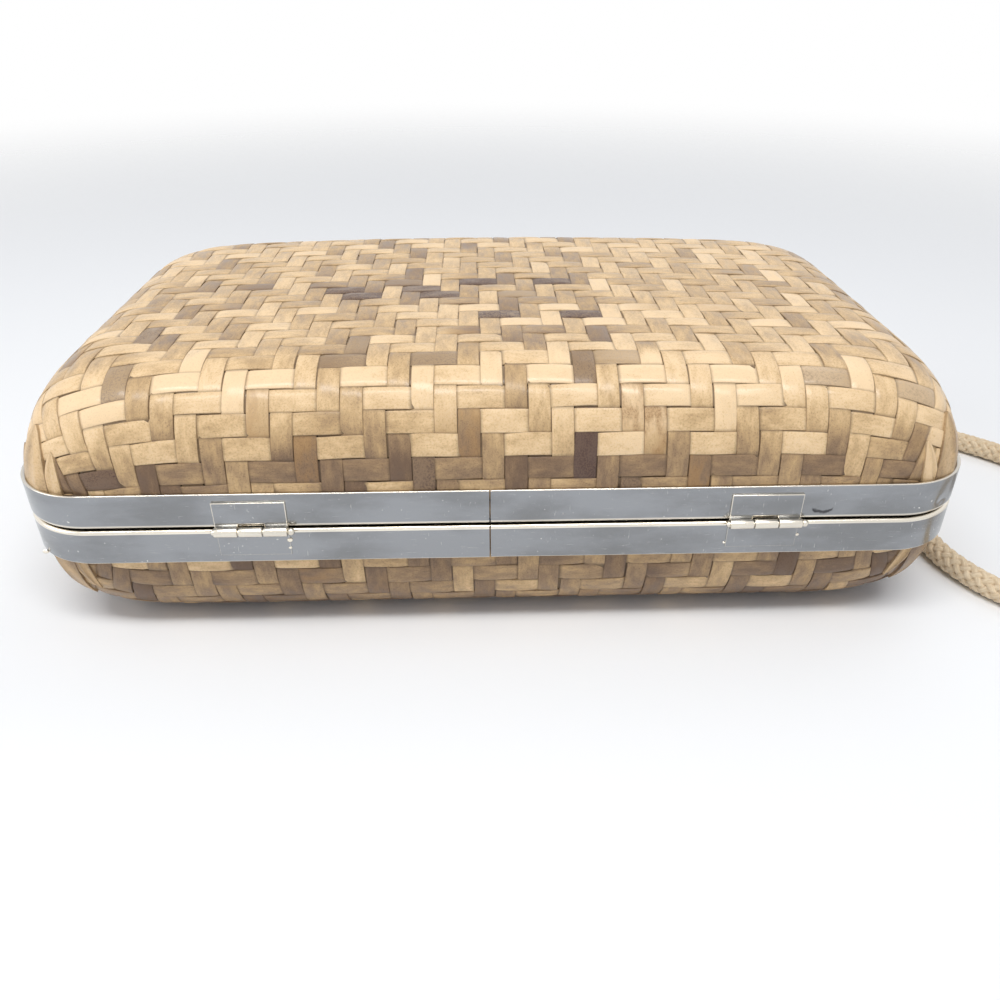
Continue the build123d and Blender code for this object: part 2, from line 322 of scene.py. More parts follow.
# %% Floor
FLOOR_REACH = 9
FLOOR_GREY, FLOOR_ROUGHNESS, FLOOR_GLOSS = (0.90, 0.91, 0.92), 0.85, 0.2
FADE_START, FADE_END = 0.25, 0.9
CORNERS = ((-1, -1), (1, -1), (1, 1), (-1, 1))
floor_corners = [(FLOOR_REACH * x, FLOOR_REACH * y, 0) for x, y in CORNERS]
floor_mesh = plain_mesh("floor", floor_corners, [(0, 1, 2, 3)])
floor_material, tree, shader = new_material("paper_floor")
wire(tree, FLOOR_GREY, shader.inputs["Base Color"])
wire(tree, FLOOR_ROUGHNESS, shader.inputs["Roughness"])
wire(tree, FLOOR_GLOSS, shader.inputs["Specular IOR Level"])
distance = tree.nodes.new("ShaderNodeVectorMath")
distance.operation = "LENGTH"
wire(tree, place_of(tree), distance.inputs[0])
fade = span(tree, distance.outputs["Value"], FADE_START, FADE_END, 1.0, 0.0)
wire(tree, fade, shader.inputs["Alpha"])
floor_mesh.materials.append(floor_material)
floor = shown("floor", floor_mesh)
print("floor fades from", FADE_START, "to", FADE_END, "m")

# %% [markdown]
# ## Finish of the strips
# The bag is woven from split stems, flattened and varnished. They run from cream to grey-brown,
# with a fine dark pepper, and some are stained. A picture wrapped over the mesh could carry that,
# but each strip would need its own place in it. Noise that is stretched along every strip gives
# each one a grain of its own, and numbers stored on the mesh say how pale, how stained and how
# deep each place is. Deep places and strip edges get a painted shade of dark brown, and a nearly
# black sheet under the strips paints shade into the gaps. The varnish is a thin coat over the colour.

# %% Strip colours
HALF_STRIP = 2.3 * MM
STRIP_VALUES = ("along", "across", "strip", "height", "tone", "stain", "gold")
STRIP_TONES = ((0.0, (0.165, 0.1, 0.06)), (0.28, (0.305, 0.197, 0.11)), (0.55, (0.55, 0.37, 0.188)),
               (0.78, (0.755, 0.535, 0.295)), (1.0, (0.885, 0.655, 0.4)))
GOLDEN_BROWN, STAIN_BROWN = (0.33, 0.175, 0.065), (0.085, 0.048, 0.042)
# The pepper brown is the strips' own; the second brown is painted shade for edges and dips
PEPPER_BROWN, PAINTED_SHADE_BROWN = (0.115, 0.067, 0.043), (0.07, 0.042, 0.025)
# Bumps a metre along a strip, across it and from strip to strip
CLOUD, FIBRE, GRAIN = (190, 430, 1), (300, 3000, 1), (2300, 2600, 1)
CLOUD_SWING, FIBRE_SWING, GRAIN_SWING = 0.72, 0.08, 1.1
EDGE_SHADE = 0.38


def tone_ramp(tree, shade):
    """Grey-brown at 0, through tan, to pale cream at 1."""
    ramp = tree.nodes.new("ShaderNodeValToRGB")
    stops = ramp.color_ramp.elements
    stops.remove(stops[1])
    stops[0].position, stops[0].color = STRIP_TONES[0][0], (*STRIP_TONES[0][1], 1)
    for position, colour in STRIP_TONES[1:]:
        stops.new(position).color = (*colour, 1)
    wire(tree, shade, ramp.inputs[0])
    return ramp.outputs[0]


def strip_colour(tree, values, cloud, fibre, grain):
    """The colour of a strip: its tone, its stains, its pepper, and painted shade along its edges and where
    it dips under another.
    """
    shade = values["tone"]
    for part, swing in ((cloud, CLOUD_SWING), (fibre, FIBRE_SWING), (grain, GRAIN_SWING)):
        shade = maths(tree, "ADD", shade, maths(tree, "MULTIPLY_ADD", part, swing, -swing / 2))
    shade = maths(tree, "MAXIMUM", shade, 0.0, clamp=True)
    peppered = span(tree, grain, 0.4, 0.62, 0.74, 1.1)
    browned = maths(tree, "MULTIPLY", values["gold"], span(tree, cloud, 0.35, 0.62, 0.1, 0.75))
    browned = maths(tree, "MULTIPLY", browned, peppered)
    colour = mix(tree, browned, tone_ramp(tree, shade), GOLDEN_BROWN)
    patch = maths(tree, "MULTIPLY", values["stain"], span(tree, cloud, 0.25, 0.6, 0.75, 1.0))
    patch = maths(tree, "MULTIPLY", patch, peppered, clamp=True)
    colour = mix(tree, patch, colour, STAIN_BROWN)
    dots = maths(tree, "MULTIPLY", span(tree, grain, 0.51, 0.63), span(tree, shade, 0.1, 0.95, 0.85, 0.12))
    colour = mix(tree, dots, colour, PEPPER_BROWN)
    # Painted shade: dark brown along the edges and where the strip dips under a crossing strip
    from_middle = maths(tree, "ABSOLUTE", values["across"])
    edge = maths(tree, "MULTIPLY", span(tree, from_middle, 0.92, 1.0), EDGE_SHADE)
    painted_sunk_shade = span(tree, values["height"], -0.35, 0.35, 0.75, 0.0)
    return mix(tree, maths(tree, "MAXIMUM", edge, painted_sunk_shade), colour, PAINTED_SHADE_BROWN)


print("strip tones:", len(STRIP_TONES))

# %% Strip and gap-shade finishes
COAT_ROUGHNESS, STRIP_GLOSS = 0.19, 0.2
FIBRE_RELIEF, CLOUD_RELIEF, STRIP_RELIEF = 0.35, 2.0, 0.09 * MM
# A nearly black sheet under the strips: painted shade for the gaps
GAP_SHADE_DARK, GAP_SHADE_PALE = (0.02, 0.013, 0.009), (0.06, 0.04, 0.028)


def strip_material():
    """Split, flattened and varnished strips."""
    material, tree, shader = new_material("varnished_strip")
    values = {name: stored(tree, name) for name in STRIP_VALUES}
    across = maths(tree, "MULTIPLY", values["across"], HALF_STRIP)
    place = joined(tree, values["along"], across, values["strip"])
    cloud = noise(tree, place, CLOUD, 3.0, 0.6)
    fibre = noise(tree, place, FIBRE, 2.0, 0.6)
    grain = noise(tree, place, GRAIN, 3.0, 0.8)
    wire(tree, strip_colour(tree, values, cloud, fibre, grain), shader.inputs["Base Color"])
    wire(tree, span(tree, cloud, 0.25, 0.75, 0.34, 0.55), shader.inputs["Roughness"])
    wire(tree, span(tree, cloud, 0.3, 0.7, 0.46, 0.16), shader.inputs["Coat Weight"])
    shader.inputs["Coat Roughness"].default_value = COAT_ROUGHNESS
    shader.inputs["Specular IOR Level"].default_value = STRIP_GLOSS
    fibres = maths(tree, "MULTIPLY", fibre, FIBRE_RELIEF)
    relief = maths(tree, "MULTIPLY_ADD", cloud, CLOUD_RELIEF, fibres)
    wire(tree, bump(tree, relief, STRIP_RELIEF, 0.5), shader.inputs["Normal"])
    return material


def gap_shade_material():
    """A nearly black sheet under the strips, standing in for the shade in the smallest gaps between them.
    """
    material, tree, shader = new_material("dark_backing")
    tint = mix(tree, noise(tree, place_of(tree), 900.0), GAP_SHADE_DARK, GAP_SHADE_PALE)
    wire(tree, tint, shader.inputs["Base Color"])
    shader.inputs["Roughness"].default_value = 0.9
    return material


STRIP = strip_material()
GAP_SHADE = gap_shade_material()
print("woven finishes ready:", STRIP.name, GAP_SHADE.name)

# %% [markdown]
# ## Finish of the metal
# The bands and fittings are silvered sheet, dulled by handling, and bright along the edges from
# rubbing and from painted highlight.
# Scratches could be painted on each piece by hand, but then each new piece would need painting.
# Both metals carry the same kinds of marks, so the marks are one node group. It puts out masks,
# and each metal mixes them with its own colours.


# %% Shared metal wear and painted sheen
def wear_and_sheen_group():
    """Marks that both metals carry: smears, fine scratches, specks, slow waves, and pale edges from
    rubbing and painted highlight.
    """
    group = bpy.data.node_groups.new("metal_wear_and_sheen", "ShaderNodeTree")
    group.interface.new_socket("Place", in_out="INPUT", socket_type="NodeSocketVector")
    group.interface.new_socket("Edge", in_out="INPUT", socket_type="NodeSocketFloat")
    for name in ("Smear", "Scratch", "Speck", "Wave", "Rubbed_and_lit"):
        group.interface.new_socket(name, in_out="OUTPUT", socket_type="NodeSocketFloat")
    enter, leave = group.nodes.new("NodeGroupInput"), group.nodes.new("NodeGroupOutput")
    place, edge = enter.outputs[:2]
    smear = noise(group, place, (38, 38, 95), 5.0, 0.55)
    level_lines = noise(group, place, (240, 240, 5200), 3.0, 0.7)
    upright_lines = noise(group, place, (3100, 3100, 420), 2.0, 0.6)
    scratch = maths(group, "MAXIMUM", span(group, level_lines, 0.64, 0.74),
                    span(group, upright_lines, 0.69, 0.77))
    speck = span(group, noise(group, place, 1500.0, 1.0), 0.74, 0.79)
    wave = noise(group, place, (70, 70, 130), 1.0, 0.4)
    # Pale edges: rubbing and painted highlight together
    rubbed_and_lit = maths(group, "MULTIPLY", edge, span(group, smear, 0.3, 0.7, 1.0, 0.75))
    for socket, value in zip(leave.inputs, (smear, scratch, speck, wave, rubbed_and_lit)):
        wire(group, value, socket)
    return group


WEAR_AND_SHEEN = wear_and_sheen_group()
print("wear group puts out", [item.name for item in WEAR_AND_SHEEN.interface.items_tree if item.in_out == "OUTPUT"])

# %% Scuff on the band
SCUFF_X, SCUFF_Z, SCUFF_HALF, SCUFF_BEND = 68.6 * MM, 31.4 * MM, 2.4 * MM, 150.0
SCUFF_RAGGED, SCUFF_CORE, SCUFF_EDGE = 0.9 * MM, 0.15 * MM, 0.55 * MM


def scuffed(tree, place):
    """A dark hooked scuff on the hinge side of the upper band."""
    parts = tree.nodes.new("ShaderNodeSeparateXYZ")
    wire(tree, place, parts.inputs[0])
    x, y, z = parts.outputs
    along = maths(tree, "SUBTRACT", x, SCUFF_X)
    curve = maths(tree, "MULTIPLY", maths(tree, "POWER", along, 2.0), SCUFF_BEND)
    crumbs = noise(tree, place, 1300.0, 2.0, 0.6)
    ragged = maths(tree, "MULTIPLY_ADD", crumbs, SCUFF_RAGGED, -SCUFF_RAGGED / 2)
    off = maths(tree, "SUBTRACT", maths(tree, "SUBTRACT", z, SCUFF_Z), maths(tree, "ADD", curve, ragged))
    line = span(tree, maths(tree, "ABSOLUTE", off), SCUFF_CORE, SCUFF_EDGE, 1.0, 0.0)
    length = span(tree, maths(tree, "ABSOLUTE", along), 0.8 * SCUFF_HALF, SCUFF_HALF, 1.0, 0.0)
    hinge_side = maths(tree, "LESS_THAN", y, 0.0)
    return maths(tree, "MULTIPLY", maths(tree, "MULTIPLY", line, length), hinge_side)


print("scuff at", SCUFF_X, SCUFF_Z)

# %% Metal finishes
# Scratch and speck pales are the metal's own; the edge pale is rubbing and painted highlight
SCRATCH_PALE, SPECK_PALE, RUBBED_AND_LIT_PALE = (0.9, 0.88, 0.83), (0.92, 0.9, 0.86), (0.92, 0.85, 0.73)
SCUFF_DARK = (0.04, 0.037, 0.04)
METAL_RELIEF = 0.6 * MM


def metal_material(name, clean, dull, smoothest, roughest, scuffs=False):
    """Silvered sheet: clean and dull by turns, scratched, specked, and pale at the edges from rubbing and
    painted highlight.
    """
    material, tree, shader = new_material(name)
    wear_and_sheen = tree.nodes.new("ShaderNodeGroup")
    wear_and_sheen.node_tree = WEAR_AND_SHEEN
    wire(tree, place_of(tree), wear_and_sheen.inputs["Place"])
    wire(tree, stored(tree, "worn_and_lit"), wear_and_sheen.inputs["Edge"])
    smear, scratch, speck, wave, rubbed_and_lit = wear_and_sheen.outputs
    colour = mix(tree, span(tree, smear, 0.38, 0.68), clean, dull)
    colour = mix(tree, maths(tree, "MULTIPLY", scratch, 0.35), colour, SCRATCH_PALE)
    colour = mix(tree, maths(tree, "MULTIPLY", speck, 0.75), colour, SPECK_PALE)
    # Pale along the edges: rubbing and painted highlight
    colour = mix(tree, rubbed_and_lit, colour, RUBBED_AND_LIT_PALE)
    if scuffs:
        mark = maths(tree, "MULTIPLY", scuffed(tree, place_of(tree)), 0.85)
        colour = mix(tree, mark, colour, SCUFF_DARK)
    wire(tree, colour, shader.inputs["Base Color"])
    shader.inputs["Metallic"].default_value = 1.0
    rough = span(tree, smear, 0.3, 0.72, smoothest, roughest)
    rough = maths(tree, "ADD", rough, maths(tree, "MULTIPLY", scratch, 0.15))
    wire(tree, rough, shader.inputs["Roughness"])
    height = maths(tree, "MULTIPLY_ADD", scratch, -0.04, wave)
    wire(tree, bump(tree, height, METAL_RELIEF, 0.35), shader.inputs["Normal"])
    return material


BAND = metal_material("silvered_band", (0.335, 0.345, 0.36), (0.245, 0.25, 0.255), 0.12, 0.26, scuffs=True)
FITTING = metal_material("silvered_fitting", (0.52, 0.51, 0.48), (0.38, 0.365, 0.335), 0.16, 0.32)
print("metals ready:", BAND.name, FITTING.name)

# %% [markdown]
# ## Finish of the cotton
# The strap is plaited from spun cotton, and the linings are plain-woven cotton. Hairs could be
# grown on both, but from this far a fine twist in the bump and a little sheen look the same and
# cost almost nothing. The lining's threads follow places on the flat cloth, so they bend with it.

# %% Strap thread
# The third colour is painted shade between the stitches
THREAD_PALE, THREAD_DEEP, THREAD_PAINTED_SHADE = (0.82, 0.68, 0.485), (0.66, 0.51, 0.33), (0.24, 0.155, 0.085)
THREAD_ROUND, THREAD_RELIEF = 4 * MM, 0.25 * MM


def thread_material():
    """Spun cotton: fine twist lines along each strand, hairy and matt, with painted shade between the
    stitches.
    """
    material, tree, shader = new_material("cotton_braid")
    round_it = maths(tree, "MULTIPLY", stored(tree, "across"), THREAD_ROUND)
    place = joined(tree, stored(tree, "along"), round_it, stored(tree, "strip"))
    twist = noise(tree, place, (900, 2600, 1), 2.0, 0.6)
    blotch = noise(tree, place_of(tree), 160.0, 2.0)
    colour = mix(tree, span(tree, twist, 0.3, 0.7), THREAD_DEEP, THREAD_PALE)
    colour = mix(tree, span(tree, blotch, 0.45, 0.75, 0.0, 0.35), colour, THREAD_DEEP)
    # Painted shade where a strand passes under its neighbour and on its underside
    painted_sunk_shade = span(tree, stored(tree, "height"), -1.0, 0.55, 0.7, 0.0)
    wire(tree, mix(tree, painted_sunk_shade, colour, THREAD_PAINTED_SHADE), shader.inputs["Base Color"])
    shader.inputs["Roughness"].default_value = 0.85
    shader.inputs["Sheen Weight"].default_value = 0.25
    wire(tree, bump(tree, twist, THREAD_RELIEF, 0.6), shader.inputs["Normal"])
    return material


THREAD = thread_material()
print("thread ready:", THREAD.name)

# %% Lining cotton
CLOTH_DEEP, CLOTH_FADED, CLOTH_GAP = (0.50, 0.40, 0.27), (0.62, 0.52, 0.38), (0.24, 0.17, 0.10)
CLOTH_THREADS, CLOTH_RELIEF = 420, 0.2 * MM


def threads(tree, place, direction):
    """Waves across the cloth, one for each thread."""
    wave = tree.nodes.new("ShaderNodeTexWave")
    wave.bands_direction = direction
    wave.inputs["Scale"].default_value = CLOTH_THREADS
    wave.inputs["Distortion"].default_value = 1.5
    wave.inputs["Detail"].default_value = 1.0
    wire(tree, place, wave.inputs["Vector"])
    return wave.outputs["Fac"]


def lining_material():
    """Plain-woven cotton over a stiff tray, a little faded."""
    material, tree, shader = new_material("lining_cotton")
    place = joined(tree, stored(tree, "along"), stored(tree, "across"), 0.0)
    cloth = maths(tree, "MULTIPLY", threads(tree, place, "X"), threads(tree, place, "Y"))
    fade = noise(tree, place_of(tree), 28.0, 3.0)
    colour = mix(tree, span(tree, fade, 0.35, 0.7), CLOTH_DEEP, CLOTH_FADED)
    colour = mix(tree, span(tree, cloth, 0.0, 0.6, 0.35, 0.0), colour, CLOTH_GAP)
    wire(tree, colour, shader.inputs["Base Color"])
    shader.inputs["Roughness"].default_value = 0.9
    shader.inputs["Sheen Weight"].default_value = 0.2
    wire(tree, bump(tree, cloth, CLOTH_RELIEF, 0.5), shader.inputs["Normal"])
    return material


LINING = lining_material()
print("lining ready:", LINING.name)

# %% [markdown]
# ## The strap
# The strap is a limp braided cord. It leaves an eyelet in the right end of the lower half, drops
# to the floor, lies in a loose loop, passes behind the bag and goes back in at the left end.
# A curve with a round bevel would draw a plain cord, but it can't plait. So the points of the
# solid's route give one smooth line, and strands are wound round that line. The eyelets are
# measured on their solid, because the line has to pass through their middle.

# %% Strap route
CORD_RADIUS = 3 * MM
EYELET_SHEET = 1.0 * MM
LEAD = 9.6 * MM


def node_box(name):
    """Lowest and highest corner of one measured solid."""
    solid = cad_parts[name]
    places = np.array([solid.matrix_world @ corner.co for corner in solid.data.vertices])
    return places.min(axis=0), places.max(axis=0)


bpy.context.view_layer.update()
eyelet_low, eyelet_high = node_box("right_strap_eyelet")
BUSH_END, EYELET_SEAT = float(eyelet_low[0]), float(eyelet_high[0]) - EYELET_SHEET
EYELET_Y, EYELET_Z = ((eyelet_low + eyelet_high) / 2)[1:].tolist()
ROUTE = [(BUSH_END, EYELET_Y, EYELET_Z), (EYELET_SEAT + LEAD, EYELET_Y, EYELET_Z)]
ROUTE += [(x * MM, y * MM, z * MM) for x, y, z in (
    (120.5, -4, 10), (114, -22, 3), (111.5, -38, 3), (121, -58, 3), (143, -68, 3), (167, -54, 3),
    (177, -24, 3), (161, 10, 3), (135, 33, 3), (110, 62, 3), (70, 81, 3), (-5, 85, 3),
    (-80, 77, 3), (-110, 52, 3), (-119.7, 28, 8.4))]
ROUTE += [(-EYELET_SEAT - LEAD, EYELET_Y, EYELET_Z), (-BUSH_END, EYELET_Y, EYELET_Z)]
print("eyelets at", round(EYELET_SEAT, 5), round(EYELET_Y, 5), round(EYELET_Z, 5))

# %% Strap line
STRAP_STEP = 0.58 * MM
POINTS_A_PART = 24


def line_through(points):
    """Points along a smooth curve that has the given control points."""
    data = bpy.data.curves.new("strap_line", "CURVE")
    data.dimensions = "3D"
    data.resolution_u = POINTS_A_PART
    spline = data.splines.new("NURBS")
    spline.points.add(len(points) - 1)
    for spot, point in zip(spline.points, points):
        spot.co = (*point, 1)
    spline.order_u = 3
    spline.use_endpoint_u = True
    holder = bpy.data.objects.new("strap_line", data)
    mesh = bpy.data.meshes.new_from_object(holder)
    line = np.array([v.co[:] for v in mesh.vertices])
    bpy.data.objects.remove(holder)
    bpy.data.curves.remove(data)
    bpy.data.meshes.remove(mesh)
    return line


def distances(line):
    """How far along a line each of its points is."""
    return np.concatenate([[0], np.cumsum(np.linalg.norm(np.diff(line, axis=0), axis=1))])


def evenly(line, step):
    """The same line with points a fixed distance apart, and the distance of each."""
    lengths = distances(line)
    count = int(round(lengths[-1] / step)) + 1
    places = np.linspace(0, lengths[-1], count)
    return np.stack([np.interp(places, lengths, line[:, k]) for k in range(3)], axis=1), places


def frames_along(line):
    """The way ahead at each point, and two directions square to it, carried along without twisting."""
    ahead = np.gradient(line, axis=0)
    ahead /= np.linalg.norm(ahead, axis=1)[:, None]
    side = np.cross(ahead[0], (0, 0, 1.0))
    sides = []
    for direction in ahead:
        side = side - direction * (side @ direction)
        side = side / np.linalg.norm(side)
        sides.append(side)
    sides = np.array(sides)
    return ahead, sides, np.cross(ahead, sides)


strap_line, strap_places = evenly(line_through(ROUTE), STRAP_STEP)
print("strap line", round(float(strap_places[-1]), 3), "m,", len(strap_line), "points")

# %% [markdown]
# ### The braid
# Six strands wind one way and six the other. Each passes over one and under one, which makes
# the short plump stitches of a plaited cord. A bump on a round cord could fake the stitches, but
# its outline would stay smooth. Here a strand's distance from the middle rises and falls as it
# goes over and under, so the outline is knobbly too.

# %% Strands
STRANDS, STRAND_SIDES, TURN = 6, 6, 360.0
STRAND_HALF_WIDTH, STRAND_HALF_THICKNESS, STRAND_SWELL = 0.9 * MM, 0.8 * MM, 0.56 * MM
STRAND_MARGIN, STITCH_POWER = 0.02 * MM, 0.7
OVER_SHADE, ROUND_SHADE = 0.7, 0.6


def strand(line, frames, places, radius, hand, number):
    """Points and shading of one strand; hand says which way it winds."""
    ahead, side_a, side_b = frames
    angle = 2 * math.pi * number / STRANDS + hand * TURN * places
    rise = hand * np.cos(STRANDS * TURN * places)
    rise = np.sign(rise) * np.abs(rise) ** STITCH_POWER
    outward = np.cos(angle)[:, None] * side_a + np.sin(angle)[:, None] * side_b
    around = -np.sin(angle)[:, None] * side_a + np.cos(angle)[:, None] * side_b
    reach = radius - STRAND_HALF_THICKNESS - STRAND_MARGIN + STRAND_SWELL * (rise - 1) / 2
    centre = line + outward * reach[:, None]
    run = ahead + hand * TURN * radius * around
    run /= np.linalg.norm(run, axis=1)[:, None]
    width = np.cross(run, outward)
    ring = []
    for corner in range(STRAND_SIDES):
        a = 2 * math.pi * corner / STRAND_SIDES
        sideways, lifted = STRAND_HALF_WIDTH * math.cos(a), STRAND_HALF_THICKNESS * math.sin(a)
        ring.append(centre + width * sideways + outward * lifted)
    corners = np.arange(STRAND_SIDES) / STRAND_SIDES
    shades = {"along": np.repeat(places, STRAND_SIDES), "across": np.tile(corners, len(line)),
              "strip": np.full(len(line) * STRAND_SIDES, number + 10.0 * hand),
              "height": rise[:, None] * OVER_SHADE + np.sin(2 * math.pi * corners)[None, :] * ROUND_SHADE}
    return np.stack(ring, axis=1).reshape(-1, 3), shades


print(STRANDS, "strands each way,", round(2 * math.pi / TURN, 4), "m a turn")

# %% Braid the strap
def many_grids(number, rows, columns, wrap=False):
    """Quads for several grids of the same size, one after the other."""
    faces = []
    for index in range(number):
        faces += grid_faces(rows, columns, wrap, index * rows * columns)
    return faces


def gathered(shades):
    """The values of several parts, joined end to end under each name."""
    return {name: np.concatenate([np.ravel(part[name]) for part in shades]) for name in shades[0]}


def braid(name, line, places, radius):
    """Strands wound both ways round a line, as one mesh."""
    frames = frames_along(line)
    winding = [(hand, number) for hand in (1, -1) for number in range(STRANDS)]
    parts = [strand(line, frames, places, radius, *way) for way in winding]
    faces = many_grids(len(parts), len(line), STRAND_SIDES, wrap=True)
    mesh = plain_mesh(name, np.concatenate([points for points, _ in parts]), faces)
    set_values(mesh, gathered([shades for _, shades in parts]))
    return mesh


strap_mesh = braid("strap_braid", strap_line, strap_places, CORD_RADIUS)
strap = piece("strap_braid", strap_mesh, THREAD, "base", ("strap_cord",))
print("strap", round(float(strap_places[-1]), 3), "m,", len(strap_mesh.polygons) * 2, "triangles")

# %% [markdown]
# ## The woven halves
# The mat was woven flat and then drawn down over a mould, so a place on the half is found from
# its place on the flat mat: s along X and t along Y. The middle is flat, the edge falls in a
# rounded curve to the rim, and the corners are crowded like a hospital corner. A cloth simulation
# could pull a mat over a mould, but no strip would end where it is wanted. A formula puts every
# strip at its own place, and the solids' shells were made with the same one.

# %% From the flat mat to the pillow
RIM_LEVEL = BAND_START + BAND_SHEET
SHELL_INSET = BAND_SHEET + 0.1 * MM
EDGE_REACH, CORNER_REACH = 20 * MM, 23 * MM
EDGE_POWER, FLAT_CORNER_POWER, RIM_CORNER_POWER = 2.6, 2.5, 5.6
FLAT_X = FRAME_WIDTH / 2 - SHELL_INSET - EDGE_REACH - CORNER_REACH
FLAT_Y = FRAME_DEPTH / 2 - SHELL_INSET - EDGE_REACH - CORNER_REACH
LID_HEIGHT, BASE_HEIGHT, CROWN_FALL = 31.75 * MM, 28.95 * MM, 2.6 * MM
SECTION_POINTS, HALVINGS, TINY = 181, 40, 1e-9


class Pillow:
    """The outside of one half, measured from the parting plane."""

    def __init__(self, height, fall, side):
        self.fall, self.side = fall, side
        self.rise = height - RIM_LEVEL
        self.turns = np.linspace(0, 1, SECTION_POINTS)
        reach, up = self.section(self.turns, 0.0)
        steps = np.hypot(np.diff(reach), np.diff(up))
        self.arcs = np.concatenate([[0], np.cumsum(steps)])
        self.mat_edge = CORNER_REACH + self.arcs[-1]
        self.half_s, self.half_t = FLAT_X + self.mat_edge, FLAT_Y + self.mat_edge

    def section(self, turn, depth):
        """Reach outward and height of the rounded edge, from its top (0) to the rim (1)."""
        angle = np.pi / 2 * np.minimum(turn, 1)
        reach = (EDGE_REACH - depth) * np.sin(angle) ** (2 / EDGE_POWER)
        up = (self.rise - depth) * np.maximum(np.cos(angle), 0) ** (2 / EDGE_POWER)
        return reach, up

    def reach(self, lead, lag):
        """How far out a place of the mat lies, from its larger and its smaller distance past the flat."""
        rounded = (lead**FLAT_CORNER_POWER + lag**FLAT_CORNER_POWER) ** (1 / FLAT_CORNER_POWER)
        return rounded + (lead - rounded) * (lead / self.mat_edge) ** 2

    def mitre(self, reach):
        """The place on a corner's diagonal that lies as far out, found by halving."""
        low, high = np.zeros_like(reach), reach.copy()
        for _ in range(HALVINGS):
            middle = (low + high) / 2
            short = self.reach(middle, middle) < reach
            low, high = np.where(short, middle, low), np.where(short, high, middle)
        return np.maximum(high, TINY)

    def ring(self, reach, share, along_x, depth):
        """Plan reach along X and Y, and height, at a share of the way round a corner."""
        arc = np.clip(reach - CORNER_REACH, 0, self.arcs[-1])
        out, up = self.section(np.interp(arc, self.arcs, self.turns), depth)
        ring = CORNER_REACH + out
        power = FLAT_CORNER_POWER + (RIM_CORNER_POWER - FLAT_CORNER_POWER) * out / EDGE_REACH
        ring_diagonal = ring * 2 ** (-1 / power)
        crowding = self.mitre(reach) / ring_diagonal
        ring_lag = ring_diagonal * share * (crowding - (crowding - 1) * share)
        ring_lead = np.maximum(ring**power - ring_lag**power, 0) ** (1 / power)
        return np.where(along_x, ring_lead, ring_lag), np.where(along_x, ring_lag, ring_lead), up

    def placed(self, x, y, up):
        """Places in the bag's frame; the top is crowned, so it is lower towards the ends."""
        crown = 1 - self.fall / self.rise * (x / (FRAME_WIDTH / 2)) ** 2
        return np.stack([x, y, PARTING + self.side * (RIM_LEVEL + up * crown)], axis=-1)

    def points(self, s, t, depth):
        """Places in the bag's frame for places on the mat, at a depth under the outside."""
        s, t, depth = np.broadcast_arrays(np.asarray(s, float), np.asarray(t, float), depth)
        past_x = np.maximum(np.abs(s) - FLAT_X, 0)
        past_y = np.maximum(np.abs(t) - FLAT_Y, 0)
        lead, lag = np.maximum(past_x, past_y), np.minimum(past_x, past_y)
        reach = np.maximum(self.reach(lead, lag), TINY)
        share = np.minimum(lag / self.mitre(reach), 1)
        ring_x, ring_y, up = self.ring(reach, share, past_x >= past_y, depth)
        flat = reach <= CORNER_REACH
        x = np.where((past_x > 0) & ~flat, np.sign(s) * (FLAT_X + ring_x), s)
        y = np.where((past_y > 0) & ~flat, np.sign(t) * (FLAT_Y + ring_y), t)
        return self.placed(x, y, np.where(flat, self.rise - depth, up))


lid_pillow = Pillow(LID_HEIGHT, CROWN_FALL, 1)
base_pillow = Pillow(BASE_HEIGHT, 0.0, -1)
print("mat of the lid", [round(2 * v, 4) for v in (lid_pillow.half_s, lid_pillow.half_t)])

# %% [markdown]
# ### Strips
# A strip along X passes over two strips along Y and then under two, and the next row starts one
# strip further on: that is the twill. A picture of it on a smooth shell would be quick, but each
# real strip has edges that catch the light and gaps beside it. So each strip is a ribbon with its
# own width, wander and colour. Where the strips lie and where the first float of each half starts
# come from the photograph.

# %% Strip sizes
# A ribbon's section: places across it from -1 to 1, and how far each is below the surface
CROSS = np.array([-1.0, -1.0, -0.93, -0.4, 0.4, 0.93, 1.0, 1.0])
CROSS_DROP = np.array([0.34, 0.07, 0.0, -0.03, -0.03, 0.0, 0.07, 0.34]) * MM
STRIP_SEAT, SWING, FLOAT_POWER = 0.17 * MM, 0.19 * MM, 0.36
HALF_BREADTH, WIDEST_HALF = 0.482, 0.497
PER_STRIP = 4
# First line and spacing of the strips in millimetres, the way that the twill climbs, its start
# and the seed of its chances
WEAVES = {
    "lid": dict(pillow=lid_pillow, body="lid", node="lid_woven_shell", s0=1.35, ds=4.74, t0=-73.76,
                dt=4.93, turn=1, shift=3, seed=11),
    "base": dict(pillow=base_pillow, body="base", node="base_woven_shell", s0=-5.4, ds=4.80, t0=-70.2,
                 dt=4.93, turn=-1, shift=0, seed=23),
}
print("a strip of the lid is", round(2 * HALF_BREADTH * WEAVES["lid"]["dt"], 2), "mm wide")

# %% [markdown]
# ### Stains and tones
# Some floats of the real mat are nearly black, a few are golden, and whole rows are paler than
# others. The rows across the lid's front shoulder are set paler partly as painted highlight, and the
# lower half is darkened as painted shade. Chance alone would never put them where they are, and a
# painted picture would have to fit every strip. So the marks that stand out are listed by their
# place on the mat, each one colours the whole float that is nearest, and seeded chance does the rest.

